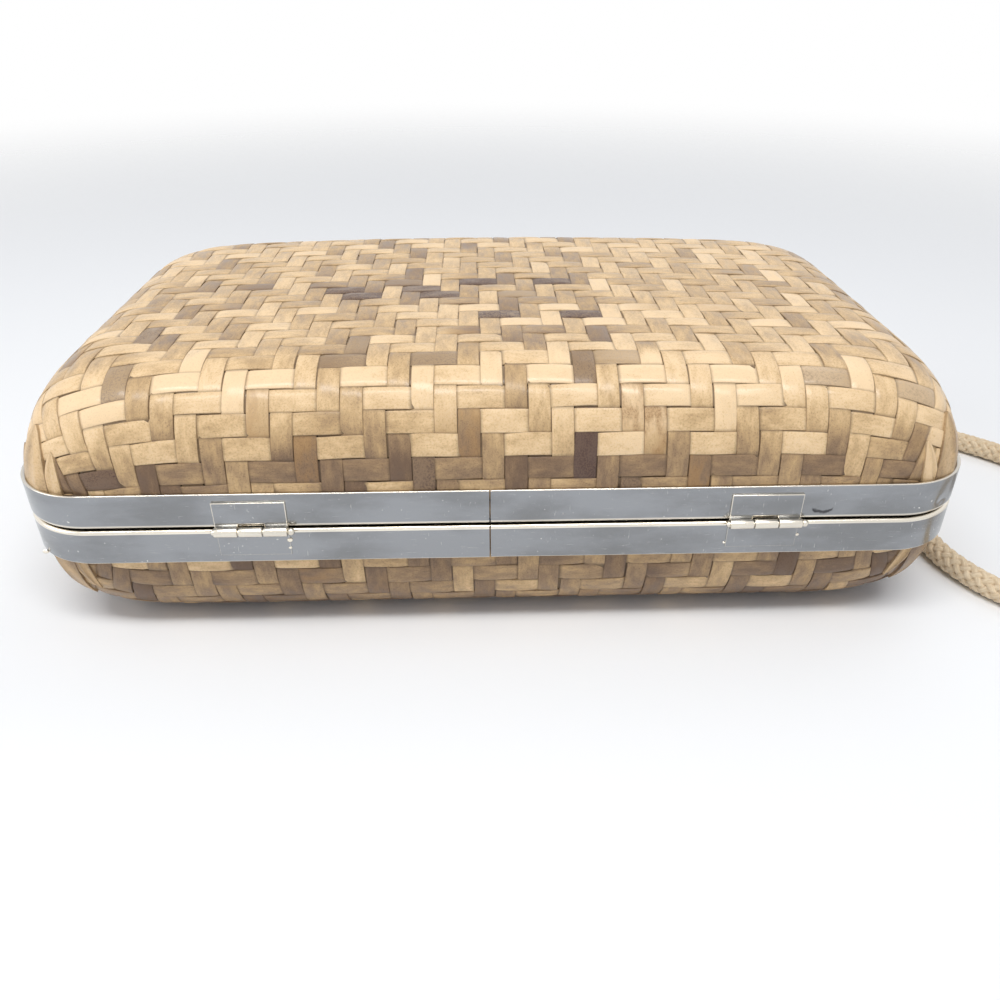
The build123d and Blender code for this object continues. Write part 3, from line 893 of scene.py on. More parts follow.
# %% Stains
# Place on the mat in millimetres, direction of the strip, strength
DARK_STAINS = [
    (-22, 2.7, "x", 0.5), (-3.3, 2.7, "x", 1.0), (15.6, 2.7, "x", 1.0), (-36.6, -2.3, "x", 0.95),
    (-17.6, -2.3, "x", 0.95), (-31.8, -7.2, "x", 1.0), (-12.9, -7.2, "x", 1.0), (6, -7.2, "x", 0.5),
    (1.4, -22, "x", 1.0), (20.3, -22, "x", 1.0), (-31.8, -46.6, "x", 0.62), (-12.9, -46.6, "x", 0.66),
    (25, -46.6, "x", 0.45), (69.5, -51.6, "x", 0.5), (88.5, -51.6, "x", 0.45), (-82.6, -71.2, "x", 0.9),
    (18, -68.4, "y", 1.0), (-13.8, -72, "y", 0.85), (28.3, -75, "y", 0.8), (-78, -26, "y", 0.8),
    (-74.5, -45, "y", 0.6), (18, -49.7, "y", 0.7), (-28.6, -36.4, "y", 0.55), (21.4, -29, "y", 0.4),
]
GOLD_STAINS = [
    (-38.8, -64, "y", 0.8), (32.4, -64, "y", 1.0), (-6, -63, "y", 0.7), (27.8, -60, "y", 0.9),
    (-47.5, -61, "y", 0.7), (39.7, -66, "y", 0.8),
]
STAIN_FADE = 1.0 * MM
FLOAT_REPEAT = 4
# Spacing and size of the chance, the level where a mark starts, and the strongest mark
STRAY_GOLD, STRAY_STAIN = (0.02, 0.5, 0.75, 0.8), (0.013, 0.42, 1.15, 0.9)


def stained(spots, direction, along, centre, pitch, middle, step):
    """How strongly the listed stains colour one strip: whole floats, with soft ends out of sight."""
    total = np.zeros_like(along)
    repeat = FLOAT_REPEAT * step
    for s, t, way, strength in spots:
        here, there = (s, t) if way == "x" else (t, s)
        if way == direction and abs(there * MM - centre) < pitch / 2:
            float_middle = middle + round((here * MM - middle) / repeat) * repeat
            past = np.abs(along - float_middle) - step
            total = np.maximum(total, strength * np.clip(1 - past / STAIN_FADE, 0, 1))
    return total


def stray(rng, along, spacing, size, start, most):
    """Marks left to chance."""
    return np.clip(smooth_noise(rng, along, spacing, size) - start, 0, most)


print(len(DARK_STAINS), "dark and", len(GOLD_STAINS), "golden stains")

# %% Tones
# Each pair is a middle tone and how much the strips differ from it
# The lower half's middle tone is set dark as painted shade
BASE_TONE_AND_SHADE, LID_TONE_X, LID_TONE_Y = (0.26, 0.19), (0.65, 0.14), (0.63, 0.15)
# Rows of the lid with a tone of their own; the rows across the front shoulder are set paler partly as
# painted highlight
ROW_TONES_AND_SHEEN = {-1: 0.42, 0: 0.33, 1: 0.75, 2: 0.81, 3: 0.9, 4: 0.96, 5: 0.82, 6: 0.7}
ROW_SPREAD = 0.06
# Along the lid's Y strips: darker near the rim, and paler across the front shoulder as painted highlight
RIM_DARKENING, SHOULDER_PAINTED_HIGHLIGHT = 0.26, 0.26
RIM_START, RIM_FADE, SHOULDER, SHOULDER_FADE = -61 * MM, 9 * MM, 52 * MM, 13 * MM
# Spacing and size of two clouds of tone along a strip
SHORT_CLOUD, LONG_CLOUD = (0.011, 0.1), (0.05, 0.07)


def strip_tone(body, direction, strip, along, rng):
    """From grey-brown (0) to pale cream (1) along a strip; the lid follows the photograph."""
    own = rng.normal(0, 1)
    tone = smooth_noise(rng, along, *SHORT_CLOUD) + smooth_noise(rng, along, *LONG_CLOUD)
    # The lower half is darkened as painted shade
    if body == "base":
        return tone + BASE_TONE_AND_SHADE[0] + BASE_TONE_AND_SHADE[1] * own
    if direction == "x":
        middle, spread = (ROW_TONES_AND_SHEEN[strip], ROW_SPREAD) if strip in ROW_TONES_AND_SHEEN else LID_TONE_X
        return tone + (middle + spread * own)
    near_rim = np.clip((RIM_START - along) / RIM_FADE, 0, 1)
    # Painted highlight across the front shoulder
    shoulder = np.clip(1 - np.abs(along + SHOULDER) / SHOULDER_FADE, 0, 1)
    tone = tone + LID_TONE_Y[0] + LID_TONE_Y[1] * own
    return tone - RIM_DARKENING * near_rim + SHOULDER_PAINTED_HIGHLIGHT * shoulder


print("rows of the lid with a tone of their own:", sorted(ROW_TONES_AND_SHEEN))

# %% Values along a strip
# How far apart the grain of neighbouring strips, and of the two directions, is taken
GRAIN_APART, CROSSWISE_APART = 0.37, 7.0


def strip_shades(half, strip, wave, strip_place, rng):
    """What the finish has to know at each point of one strip."""
    direction, along = strip_place[:2]
    tone = strip_tone(half["body"], direction, strip, along, rng)
    stain, gold = 0 * along, 0 * along
    if half["body"] == "lid":
        stain, gold = stained(DARK_STAINS, *strip_place), stained(GOLD_STAINS, *strip_place)
    gold = np.maximum(gold, stray(rng, along, *STRAY_GOLD))
    stain = np.maximum(stain, stray(rng, along, *STRAY_STAIN))
    shades = {"along": along, "height": wave, "tone": tone, "stain": stain, "gold": gold}
    shades = {name: np.repeat(value, len(CROSS)) for name, value in shades.items()}
    shades["across"] = np.tile(CROSS, len(along))
    number = strip * GRAIN_APART + CROSSWISE_APART * (direction == "y")
    shades["strip"] = np.full(len(along) * len(CROSS), number)
    return shades


print("each point of a strip carries", STRIP_VALUES)

# %% One direction of the weave
# Spacing and size of what wanders along a strip: its line, its breadth, its height and its tilt
WANDER, BREADTH, LIFT, TILT = (0.012, 0.1 * MM), (0.015, 0.009), (0.011, 0.03 * MM), (0.009, 0.05 * MM)
# The part of a strip's width that may be cut off at the rim
RIM_SHARE = 0.3


def float_start(half, direction, strip):
    """How many cells a strip's over-and-under is moved along, so that both directions agree."""
    if direction == "x":
        return half["turn"] * strip + half["shift"]
    if half["turn"] > 0:
        return strip + half["shift"] + 2
    return 3 - strip - half["shift"]


def weave(half, direction):
    """Every strip of one half that runs in one direction, as one mesh."""
    pillow, rng = half["pillow"], np.random.default_rng(half["seed"] + (direction == "y"))
    s_lines = half["s0"] * MM, half["ds"] * MM, pillow.half_s
    t_lines = half["t0"] * MM, half["dt"] * MM, pillow.half_t
    lengthwise, sideways = (s_lines, t_lines) if direction == "x" else (t_lines, s_lines)
    place0, step, half_place = lengthwise
    line0, pitch, half_line = sideways
    start, end = (-half_place - place0) / step, (half_place - place0) / step
    ticks = np.arange(math.ceil(start * PER_STRIP), math.floor(end * PER_STRIP) + 1)
    cells = np.concatenate([[start], ticks / PER_STRIP, [end]])
    along = place0 + cells * step
    first = math.ceil((-half_line - line0) / pitch - RIM_SHARE)
    last = math.floor((half_line - line0) / pitch - (1 - RIM_SHARE))
    verts, shades = [], []
    for strip in range(first, last + 1):
        offset = float_start(half, direction, strip)
        wave = np.sin(np.pi / 2 * (cells + offset))
        wave = np.sign(wave) * np.abs(wave) ** FLOAT_POWER
        centre = line0 + (strip + 0.5) * pitch
        wander = smooth_noise(rng, along, *WANDER)
        breadth = pitch * np.minimum(HALF_BREADTH + smooth_noise(rng, along, *BREADTH), WIDEST_HALF)
        lift = smooth_noise(rng, along, *LIFT)
        tilt = smooth_noise(rng, along, *TILT)
        line = centre + wander[:, None] + CROSS[None, :] * breadth[:, None]
        line = np.clip(line, -half_line, half_line)
        rise = STRIP_SEAT + SWING * wave + lift
        depth = -(rise[:, None] + tilt[:, None] * CROSS[None, :]) + CROSS_DROP[None, :]
        s, t = (along[:, None], line) if direction == "x" else (line, along[:, None])
        verts.append(pillow.points(s, t, depth).reshape(-1, 3))
        strip_place = (direction, along, centre, pitch, place0 + step * (1 - offset), step)
        shades.append(strip_shades(half, strip, wave, strip_place, rng))
    faces = many_grids(len(verts), len(along), len(CROSS))
    mesh = plain_mesh(half["body"] + "_strips_" + direction, np.concatenate(verts), faces)
    set_values(mesh, gathered(shades))
    return mesh


print("weave ready for", list(WEAVES))

# %% Draw both halves
GAP_SHADE_DEPTH, GAP_SHADE_COLUMNS, GAP_SHADE_ROWS = 0.35 * MM, 90, 64


def mat_grid(pillow, columns, rows):
    """Places on the flat mat, in rows from its hinge side."""
    s = np.linspace(-pillow.half_s, pillow.half_s, columns)
    t = np.linspace(-pillow.half_t, pillow.half_t, rows)
    return np.meshgrid(s, t)


def smooth_shell(pillow, depth, columns, rows):
    """A plain side at a depth, as a grid of points."""
    return pillow.points(*mat_grid(pillow, columns, rows), depth).reshape(-1, 3)


for name, half in WEAVES.items():
    # A nearly black sheet just under the strips paints shade into the gaps
    shell = smooth_shell(half["pillow"], GAP_SHADE_DEPTH, GAP_SHADE_COLUMNS, GAP_SHADE_ROWS)
    back = plain_mesh(name + "_backing", shell, grid_faces(GAP_SHADE_ROWS, GAP_SHADE_COLUMNS))
    piece(name + "_backing", back, GAP_SHADE, half["body"])
    for direction in "xy":
        mesh = weave(half, direction)
        stands_for = (half["node"],) if direction == "x" else ()
        piece(mesh.name, mesh, STRIP, half["body"], stands_for)
        print(mesh.name, len(mesh.polygons) * 2, "triangles")

# %% [markdown]
# ### Corner tucks
# A flat mat can't follow a rounded corner, so the maker folds the spare strips over each other
# there and pins them under the band. Each fold is wide at the rim and runs out to a narrow tip.
# Drawing the folds over the crowded strips shows what a maker's hands would do, and it hides
# strips that no one could weave. Every fold has a side wall, so its edge throws a thin shadow, and
# the walls are painted in shade as well.

# %% One fold
FOLD_ROWS, FOLD_COLUMNS = 34, 16
TAPER_POWER, TIP_SHARE, LEAN = 0.6, 0.015, 0.3
CREASE, CREASE_WIDTH, RIPPLE, WALL_DEPTH = 0.22, 0.2, 0.04, 0.7
FOLD_STRAY, RIDGE_STRAY, FOLD_WOBBLE = 0.05, 0.4, 0.006
FOLD_LEVEL, WALL_SHADE, FOLD_CLOUD, FOLD_GOLD, FOLD_GRAIN = 0.9, 1.3, 0.1, 0.25, (20, 40)


def tuck(pillow, corner, fold, tone, rng):
    """One fold over a corner, with a wall down each side."""
    start, end, length, lift = fold
    columns_across = np.concatenate([[-1], np.linspace(-1, 1, FOLD_COLUMNS), [1]])
    up, across = np.meshgrid(np.linspace(0, 1, FOLD_ROWS), columns_across, indexing="ij")
    wall = np.zeros_like(up)
    wall[:, [0, -1]] = 1
    taper = np.maximum(1 - up, 0.0) ** TAPER_POWER + TIP_SHARE
    middle = (start + end) / 2 * (1 - LEAN * up) + rng.uniform(-FOLD_STRAY, FOLD_STRAY) * up**2
    wobble = FOLD_WOBBLE * np.sin(6 * up + rng.uniform(0, 6))
    turn = middle + (end - start) / 2 * taper * across + wobble
    reach = pillow.mat_edge - up * length * MM
    ridge = rng.uniform(-RIDGE_STRAY, RIDGE_STRAY)
    crease = CREASE * np.exp(-(((across - ridge) / CREASE_WIDTH) ** 2)) * np.sin(np.pi * up)
    crest = lift + crease + RIPPLE * np.sin(9 * up + 3 * across) - WALL_DEPTH * wall
    ring_x, ring_y, rise = pillow.ring(reach, 1 - np.abs(turn), turn > 0, -crest * MM)
    points = pillow.placed(corner[0] * (FLAT_X + ring_x), corner[1] * (FLAT_Y + ring_y), rise)
    faces = grid_faces(FOLD_ROWS, FOLD_COLUMNS + 2)
    if corner[0] * corner[1] * pillow.side < 0:
        faces = turned_over(faces)
    # The walls get a low height, which the strip finish paints in shade
    shades = {"along": up * length * MM, "across": across, "strip": 0 * up + rng.uniform(*FOLD_GRAIN),
              "height": FOLD_LEVEL - WALL_SHADE * wall,
              "tone": tone + FOLD_CLOUD * np.sin(4 * across + 5 * up),
              "stain": 0 * up, "gold": 0 * up + rng.uniform(0, FOLD_GOLD)}
    return points.reshape(-1, 3), faces, shades


print("a fold has", FOLD_ROWS * (FOLD_COLUMNS + 2), "points")

# %% Corner tucks
# Each fold: where it starts and ends round the corner (0 is the diagonal, below 0 the long side),
# its length and lift in millimetres, and its tone
FOLDS = ((0.05, 0.27, 15.0, 0.58, 0.45), (-0.33, -0.16, 16.5, 0.6, 0.78),
         (-0.23, 0.13, 21.0, 0.68, 0.6))
# The lower half's folds are darkened as painted shade, like its strips
TUCK_SEED, TUCK_SPREAD, BASE_TUCK_PAINTED_SHADE = 7, 0.12, 0.25
SHARP = 50


def moved_on(faces, start):
    """Faces whose points are counted from a later start."""
    return [tuple(start + index for index in face) for face in faces]


def corner_tucks(half):
    """All the folds of one half, as one mesh."""
    rng = np.random.default_rng(half["seed"] + TUCK_SEED)
    verts, faces, shades = [], [], []
    for corner in CORNERS:
        for *fold, tone in FOLDS:
            # Painted shade on the lower half's folds
            darker = BASE_TUCK_PAINTED_SHADE if half["body"] == "base" else 0
            tone += rng.uniform(-TUCK_SPREAD, TUCK_SPREAD) - darker
            points, quads, shade = tuck(half["pillow"], corner, fold, tone, rng)
            faces += moved_on(quads, sum(len(part) for part in verts))
            verts.append(points)
            shades.append(shade)
    mesh = plain_mesh(half["body"] + "_corner_tucks", np.concatenate(verts), faces, SHARP)
    set_values(mesh, gathered(shades))
    return mesh


for half in WEAVES.values():
    mesh = corner_tucks(half)
    piece(mesh.name, mesh, STRIP, half["body"])
    print(mesh.name, len(mesh.polygons) * 2, "triangles")

# %% [markdown]
# ## Linings
# Inside each half is a stiff tray covered in cotton. A copy of the shell with a thickness modifier
# could stand for it, but the modifier would swell the corners. The tray follows the shell a little
# further in, so it is drawn from the same pillow at two depths and closed round the rim.

# %% Linings
TRAY_COLUMNS, TRAY_ROWS = 80, 56
TRAY_OUTSIDE, TRAY_INSIDE = 1.4 * MM, 2.2 * MM


def tray(pillow):
    """Points and faces of one tray: its outside, its inside and the rim between them."""
    columns, rows = TRAY_COLUMNS, TRAY_ROWS
    start = rows * columns
    faces = turned_over(grid_faces(rows, columns)) + grid_faces(rows, columns, start=start)
    ring = list(range(columns)) + [row * columns + columns - 1 for row in range(1, rows)]
    ring += [(rows - 1) * columns + column for column in range(columns - 2, -1, -1)]
    ring += [row * columns for row in range(rows - 2, 0, -1)]
    faces += [(a, b, start + b, start + a) for a, b in zip(ring, ring[1:] + ring[:1])]
    sides = [smooth_shell(pillow, depth, columns, rows) for depth in (TRAY_OUTSIDE, TRAY_INSIDE)]
    return np.concatenate(sides), faces


for name, pillow in (("lid", lid_pillow), ("base", base_pillow)):
    s, t = mat_grid(pillow, TRAY_COLUMNS, TRAY_ROWS)
    mesh = plain_mesh(name + "_lining_tray", *tray(pillow))
    set_values(mesh, {"along": np.tile(s.ravel(), 2), "across": np.tile(t.ravel(), 2)})
    piece(name + "_lining_tray", mesh, LINING, name, (name + "_lining",))
    print(mesh.name, len(mesh.polygons), "faces")

# %% [markdown]
# ## Metal bands
# Each half sits in a band of silvered sheet. Its free edge is thin, and at the parting plane it
# is rolled in to a flange, which leaves a round bright lip. The band's ends butt at the back.
# The lip and the free edge are pale from rubbing and from painted highlight together.
# A bevelled curve could sweep the section round, but the dents and the bright lines need points of
# their own. So the section is laid at each point of the outline and pushed in or out there.

# %% Outline of the frame
SEAM_X, SEAM_HALF_GAP = -1.8 * MM, 0.15 * MM
STRAIGHT_STEP, CORNER_STEPS = 1 * MM, 40


def frame_outline():
    """Points round the frame from the seam and back to it, with the outward direction of each."""
    half_x, half_y, r = FRAME_WIDTH / 2, FRAME_DEPTH / 2, FRAME_CORNER
    points, normals = [], []

    def straight(a, b, normal):
        """Points from a to b, both included."""
        steps = max(int(np.hypot(b[0] - a[0], b[1] - a[1]) / STRAIGHT_STEP), 2)
        for k in range(steps + 1):
            points.append((a[0] + (b[0] - a[0]) * k / steps, a[1] + (b[1] - a[1]) * k / steps))
            normals.append(normal)

    def corner(cx, cy, start):
        """Points round a quarter turn, without its two ends."""
        for k in range(1, CORNER_STEPS):
            angle = start + math.pi / 2 * k / CORNER_STEPS
            points.append((cx + r * math.cos(angle), cy + r * math.sin(angle)))
            normals.append((math.cos(angle), math.sin(angle)))

    x, y = half_x - r, half_y - r
    straight((SEAM_X + SEAM_HALF_GAP, -half_y), (x, -half_y), (0, -1))
    corner(x, -y, -math.pi / 2)
    straight((half_x, -y), (half_x, y), (1, 0))
    corner(x, y, 0)
    straight((x, half_y), (-x, half_y), (0, 1))
    corner(-x, y, math.pi / 2)
    straight((-half_x, y), (-half_x, -y), (-1, 0))
    corner(-x, -y, math.pi)
    straight((-x, -half_y), (SEAM_X - SEAM_HALF_GAP, -half_y), (0, -1))
    return np.array(points), np.array(normals)


band_points, band_normals = frame_outline()
print("outline of", len(band_points), "points")

# %% Section of a band
FLANGE_REACH, FLANGE_SHINE_REACH, LIP, LIP_STEPS = 4.4 * MM, 1.6 * MM, 0.75 * MM, 8
BAND_LEVELS = (1.4, 2.0, 2.6, 3.4, 4.4, 5.4, 6.4, 7.2)


def band_profile():
    """Inward distance, height and edge paleness (rubbing and painted highlight) of the section, from the
    flange's edge round the outside.
    """
    top = BAND_HEIGHT
    profile = [(FLANGE_REACH, BAND_SHEET, 0.3), (FLANGE_REACH, 0.0, 0.3), (FLANGE_SHINE_REACH, 0.0, 0.6)]
    for k in range(LIP_STEPS + 1):
        angle = math.pi / 2 * k / LIP_STEPS
        profile.append((LIP * (1 - math.sin(angle)), LIP * (1 - math.cos(angle)), 1.0))
    profile.append((0.0, LIP + 0.12 * MM, 0.0))
    profile += [(0.0, level * MM, 0.0) for level in BAND_LEVELS]
    profile += [(0.0, top - 0.22 * MM, 0.0), (0.0, top - 0.18 * MM, 1.0),
                (0.06 * MM, top - 0.06 * MM, 1.0), (0.2 * MM, top, 1.0),
                (BAND_SHEET - 0.12 * MM, top, 0.6), (BAND_SHEET, top - 0.12 * MM, 0.2),
                (BAND_SHEET, BAND_SHEET, 0.0)]
    return np.array(profile)


print("section of", len(band_profile()), "points")

# %% [markdown]
# ### Marks on the bands
# Years of use leave shallow dents, and hand-bent sheet is never quite straight. A sculpting brush
# could press them in, but it can't be repeated. Each mark here is a soft bump with a place, a size
# and a depth, and a slow seeded wave bends the rest.

# %% Bands
# Place on the outline, height above the lip, half-sizes and depth, in millimetres
DENTS = {"lid": [(95.7, -58.9, 2.2, 1.3, 0.75, -0.3), (97.9, -57.0, 4.6, 0.55, 3.4, 0.28),
                 (30, -62, 4.2, 3.0, 2.0, -0.06)],
         "base": [(-62, -62, 4.0, 2.5, 1.8, -0.08), (74, -62, 3.2, 1.6, 1.2, -0.08)]}
DENT_DEPTH_LIMIT, WAVE_FULL_HEIGHT = 0.3 * MM, 6 * MM
LONG_WAVE, SHORT_WAVE = (0.024, 0.03 * MM), (0.007, 0.008 * MM)
# How pale each band's edges are, from rubbing and painted highlight
BAND_SHINE = {"lid": 0.7, "base": 1.0}


def band(name, side, seed):
    """Points, faces and edge paleness, from rubbing and painted highlight, of one band."""
    profile = band_profile()
    rng = np.random.default_rng(seed)
    length = distances(band_points)
    wave = smooth_noise(rng, length, *LONG_WAVE) + smooth_noise(rng, length, *SHORT_WAVE)
    inward, height, worn_and_lit = profile.T
    push = -inward[None, :] + wave[:, None] * np.clip(height / WAVE_FULL_HEIGHT, 0, 1)[None, :]
    outside = (inward < DENT_DEPTH_LIMIT)[None, :]
    for x, y, up, half_long, half_high, depth in DENTS[name]:
        nearest = np.argmin(np.hypot(band_points[:, 0] - x * MM, band_points[:, 1] - y * MM))
        away = (length - length[nearest])[:, None] / (half_long * MM)
        above = (height - up * MM)[None, :] / (half_high * MM)
        push += depth * MM * np.exp(-(away**2 + above**2)) * outside
    count, around = len(band_points), len(profile)
    verts = np.empty((count, around, 3))
    verts[:, :, :2] = band_points[:, None, :] + band_normals[:, None, :] * push[:, :, None]
    verts[:, :, 2] = PARTING + side * (BAND_START + height)
    last = (count - 1) * around
    faces = grid_faces(count, around, wrap=True)
    faces += [tuple(range(around)), tuple(range(last, last + around))[::-1]]
    return verts.reshape(-1, 3), faces if side > 0 else turned_over(faces), np.tile(worn_and_lit, count)


for name, side, seed in (("lid", 1, 5), ("base", -1, 6)):
    verts, faces, worn_and_lit = band(name, side, seed)
    mesh = plain_mesh(name + "_band", verts, faces, SHARP)
    set_values(mesh, {"worn_and_lit": worn_and_lit * BAND_SHINE[name]})
    piece(name + "_band", mesh, BAND, name, (name + "_frame",))
    print(mesh.name, len(mesh.polygons), "faces")

# %% [markdown]
# ## Hinges
# Two small hinges join the bands. Their leaves are stamped plates, soldered to the bands, and
# three rolled knuckles turn on a pin with a round head. A bevel modifier on the solids would give
# round edges, but the bright line along each edge, pale from rubbing and from painted highlight,
# needs points of its own, so each plate is a block that is bevelled and inset here, and the barrels
# are turned from a short profile.


# %% Rounded blocks
def rounded_block(low, high, ease, rim):
    """Points, faces and edge paleness of a block with rounded edges, pale along them from rubbing and
    painted highlight.
    """
    work = bmesh.new()
    bmesh.ops.create_cube(work, size=1)
    for corner in work.verts:
        corner.co = Vector([a + (c + 0.5) * (b - a) for a, b, c in zip(low, high, corner.co)])
    bmesh.ops.bevel(work, geom=work.edges[:], offset=ease, segments=2, affect="EDGES", profile=0.5)
    broad = [face for face in work.faces if min(edge.calc_length() for edge in face.edges) > 3 * rim]
    bmesh.ops.inset_individual(work, faces=broad, thickness=rim)
    inner = {corner for face in broad for corner in face.verts}
    work.verts.index_update()
    points = np.array([corner.co[:] for corner in work.verts])
    faces = [tuple(corner.index for corner in face.verts) for face in work.faces]
    worn_and_lit = np.array([0.0 if corner in inner else 1.0 for corner in work.verts])
    work.free()
    return points, faces, worn_and_lit


print("blocks ready")

# %% Turned parts
POINT_RADIUS = 1e-6


def turned(profile, centre, axis=(1, 0, 0), count=40):
    """A surface turned about an axis, from pairs of place along the axis and radius."""
    axis = np.array(axis, float)
    side = np.cross(axis, (0, 0, 1.0) if abs(axis[2]) < 0.9 else (1.0, 0, 0))
    side /= np.linalg.norm(side)
    square = np.cross(axis, side)
    angles = 2 * np.pi * np.arange(count) / count
    rims = np.cos(angles)[:, None] * side + np.sin(angles)[:, None] * square
    points = [np.array(centre) + axis * place + rims * radius for place, radius in profile]
    return np.concatenate(points), grid_faces(len(profile), count, wrap=True)


def evenly_worn_and_lit(points, faces, wear_and_sheen):
    """A part that is equally pale all over, from rubbing and painted highlight."""
    return points, faces, np.full(len(points), wear_and_sheen)


def ball_profile(middle, radius, start=0.0, end=math.pi, steps=14):
    """Places and radii round a ball, from one angle to another."""
    angles = [start + (end - start) * k / steps for k in range(steps + 1)]
    return [(middle - radius * math.cos(a), max(radius * math.sin(a), POINT_RADIUS)) for a in angles]


def joined_mesh(name, parts, sharp=SHARP):
    """One mesh from several sets of points, faces and edge paleness, from rubbing and painted highlight.
    """
    points = np.concatenate([part[0] for part in parts])
    faces, start = [], 0
    for part in parts:
        faces += moved_on(part[1], start)
        start += len(part[0])
    mesh = plain_mesh(name, points, faces, sharp)
    set_values(mesh, {"worn_and_lit": np.concatenate([part[2] for part in parts])})
    return mesh


print("turned parts ready")

# %% Hinge leaves
HINGE_Y, BACK = -63.35 * MM, -FRAME_DEPTH / 2
HINGE_LENGTH, LEAF_HEIGHT, LEAF_START = 15.2 * MM, 6.6 * MM, 1.35 * MM
HINGE_END = HINGE_LENGTH / 2
KNUCKLE_RADIUS, KNUCKLE_GAP = 1.05 * MM, 0.3 * MM
KNUCKLE = (HINGE_LENGTH - 2 * KNUCKLE_GAP) / 3
PIN_RADIUS = 0.5 * MM
BORE_RADIUS = PIN_RADIUS + 0.05 * MM
KNUCKLE_EASE, KNUCKLE_BREAK, KNUCKLE_WAIST = 0.14 * MM, 0.04 * MM, 0.02 * MM
KNUCKLE_SHINE = 0.9
PLATE_SINK, PLATE_EASE, PLATE_RIM = 0.05 * MM, 0.12 * MM, 0.16 * MM
TAB_LAP, TAB_FRONT, TAB_BACK, TAB_EASE, TAB_RIM = 0.3 * MM, 0.5 * MM, 0.02 * MM, 0.1 * MM, 0.15 * MM


def knuckle_profile():
    """A barrel with eased ends, a slight waist and a bore for the pin."""
    near = [(0, BORE_RADIUS), (0, KNUCKLE_RADIUS - KNUCKLE_EASE),
            (KNUCKLE_BREAK, KNUCKLE_RADIUS - KNUCKLE_BREAK), (KNUCKLE_EASE, KNUCKLE_RADIUS)]
    far = [(KNUCKLE - place, radius) for place, radius in near[::-1]]
    return near + [(KNUCKLE / 2, KNUCKLE_RADIUS - KNUCKLE_WAIST)] + far + near[:1]


def leaf(centre, side, knuckles, sheet, shine):
    """A soldered plate, with a tab and a rolled barrel for each of its knuckles."""
    low, high = sorted((PARTING + side * LEAF_START, PARTING + side * LEAF_HEIGHT))
    points, faces, worn_and_lit = rounded_block((centre - HINGE_END, BACK - sheet, low),
                                        (centre + HINGE_END, BACK + PLATE_SINK, high),
                                        PLATE_EASE, PLATE_RIM)
    parts = [(points, faces, worn_and_lit * shine)]
    low, high = sorted((PARTING, PARTING + side * (LEAF_START + TAB_LAP)))
    for index in knuckles:
        start = centre - HINGE_END + index * (KNUCKLE + KNUCKLE_GAP)
        parts.append(rounded_block((start, BACK - TAB_FRONT, low),
                                   (start + KNUCKLE, BACK - TAB_BACK, high), TAB_EASE, TAB_RIM))
        barrel = turned(knuckle_profile(), (start, HINGE_Y, PARTING))
        parts.append(evenly_worn_and_lit(*barrel, KNUCKLE_SHINE))
    return parts


print("a knuckle is", round(KNUCKLE / MM, 2), "mm long")

# %% Hinges
PIN_SHINE = 0.7
# Radius of a pin's head, how far out its middle is, and the angle where the shank meets it
LEFT_HEAD, LEFT_HEAD_OUT, LEFT_HEAD_END = 0.62 * MM, 0.2 * MM, math.pi * 0.72
RIGHT_HEAD, RIGHT_HEAD_OUT, RIGHT_HEAD_START = 0.8 * MM, 0.72 * MM, math.pi * 0.22
HINGE_PLACES = (("left", -51.7 * MM), ("right", 56.5 * MM))
# Half, side of the parting plane, knuckles, thickness of the sheet and how bright its edges are
LEAVES = (("lid", 1, (0, 2), 0.5 * MM, 0.9), ("base", -1, (1,), 0.2 * MM, 0.3))


def pin(centre):
    """A plain pin with a round head at its right end and a smaller one at its left."""
    profile = ball_profile(-HINGE_END - LEFT_HEAD_OUT, LEFT_HEAD, 0, LEFT_HEAD_END)
    profile += [(-HINGE_END, PIN_RADIUS), (HINGE_END, PIN_RADIUS)]
    profile += ball_profile(HINGE_END + RIGHT_HEAD_OUT, RIGHT_HEAD, RIGHT_HEAD_START, math.pi)
    return [evenly_worn_and_lit(*turned(profile, (centre, HINGE_Y, PARTING)), PIN_SHINE)]


for name, centre in HINGE_PLACES:
    for half, side, knuckles, sheet, shine in LEAVES:
        node = name + "_hinge_" + half + "_leaf"
        mesh = joined_mesh(node + "_plate", leaf(centre, side, knuckles, sheet, shine))
        piece(mesh.name, mesh, BAND, half, (node,))
    mesh = joined_mesh(name + "_hinge_pin_turned", pin(centre))
    piece(mesh.name, mesh, FITTING, "base", (name + "_hinge_pin",))
    print(name, "hinge at", round(centre, 4))

# %% [markdown]
# ### Solder
# The leaves and the band's ends were soldered by hand, so a few bright beads stand beside them.
# Plain balls would look like rivets. Each bead is a turned ball that a slow wave presses out of
# round, and it is flattened against the band.

# %% Solder beads
# Place and size of each bead, in millimetres
SOLDER = [((-98.7, -57.0, 21.2), 0.55), ((-44.1, -62.15, 26.6), 0.5), ((-44.3, -62.1, 24.6), 0.3),
          ((64.3, -62.1, 25.8), 0.34), ((48.7, -62.1, 24.0), 0.26)]
BEAD_SWELL, BEAD_STRETCH = 0.22, np.array([1.1, 0.55, 0.9])
SWELL_X, SWELL_Y, SWELL_Z, SWELL_START = 1900, 900, 1500, 2.3


def bead(place, size):
    """One bead of solder, bright all over."""
    points, faces = turned(ball_profile(0.0, size * MM, steps=12), (0, 0, 0), count=18)
    x, y, z = points.T
    swell = 1 + BEAD_SWELL * np.sin(SWELL_X * x + SWELL_START) * np.cos(SWELL_Z * z + SWELL_Y * y)
    points = points * swell[:, None] * BEAD_STRETCH
    return evenly_worn_and_lit(points + np.array(place) * MM, faces, 1.0)


mesh = joined_mesh("base_solder_beads", [bead(place, size) for place, size in SOLDER], sharp=80)
piece(mesh.name, mesh, FITTING, "base")
print(len(SOLDER), "solder beads")

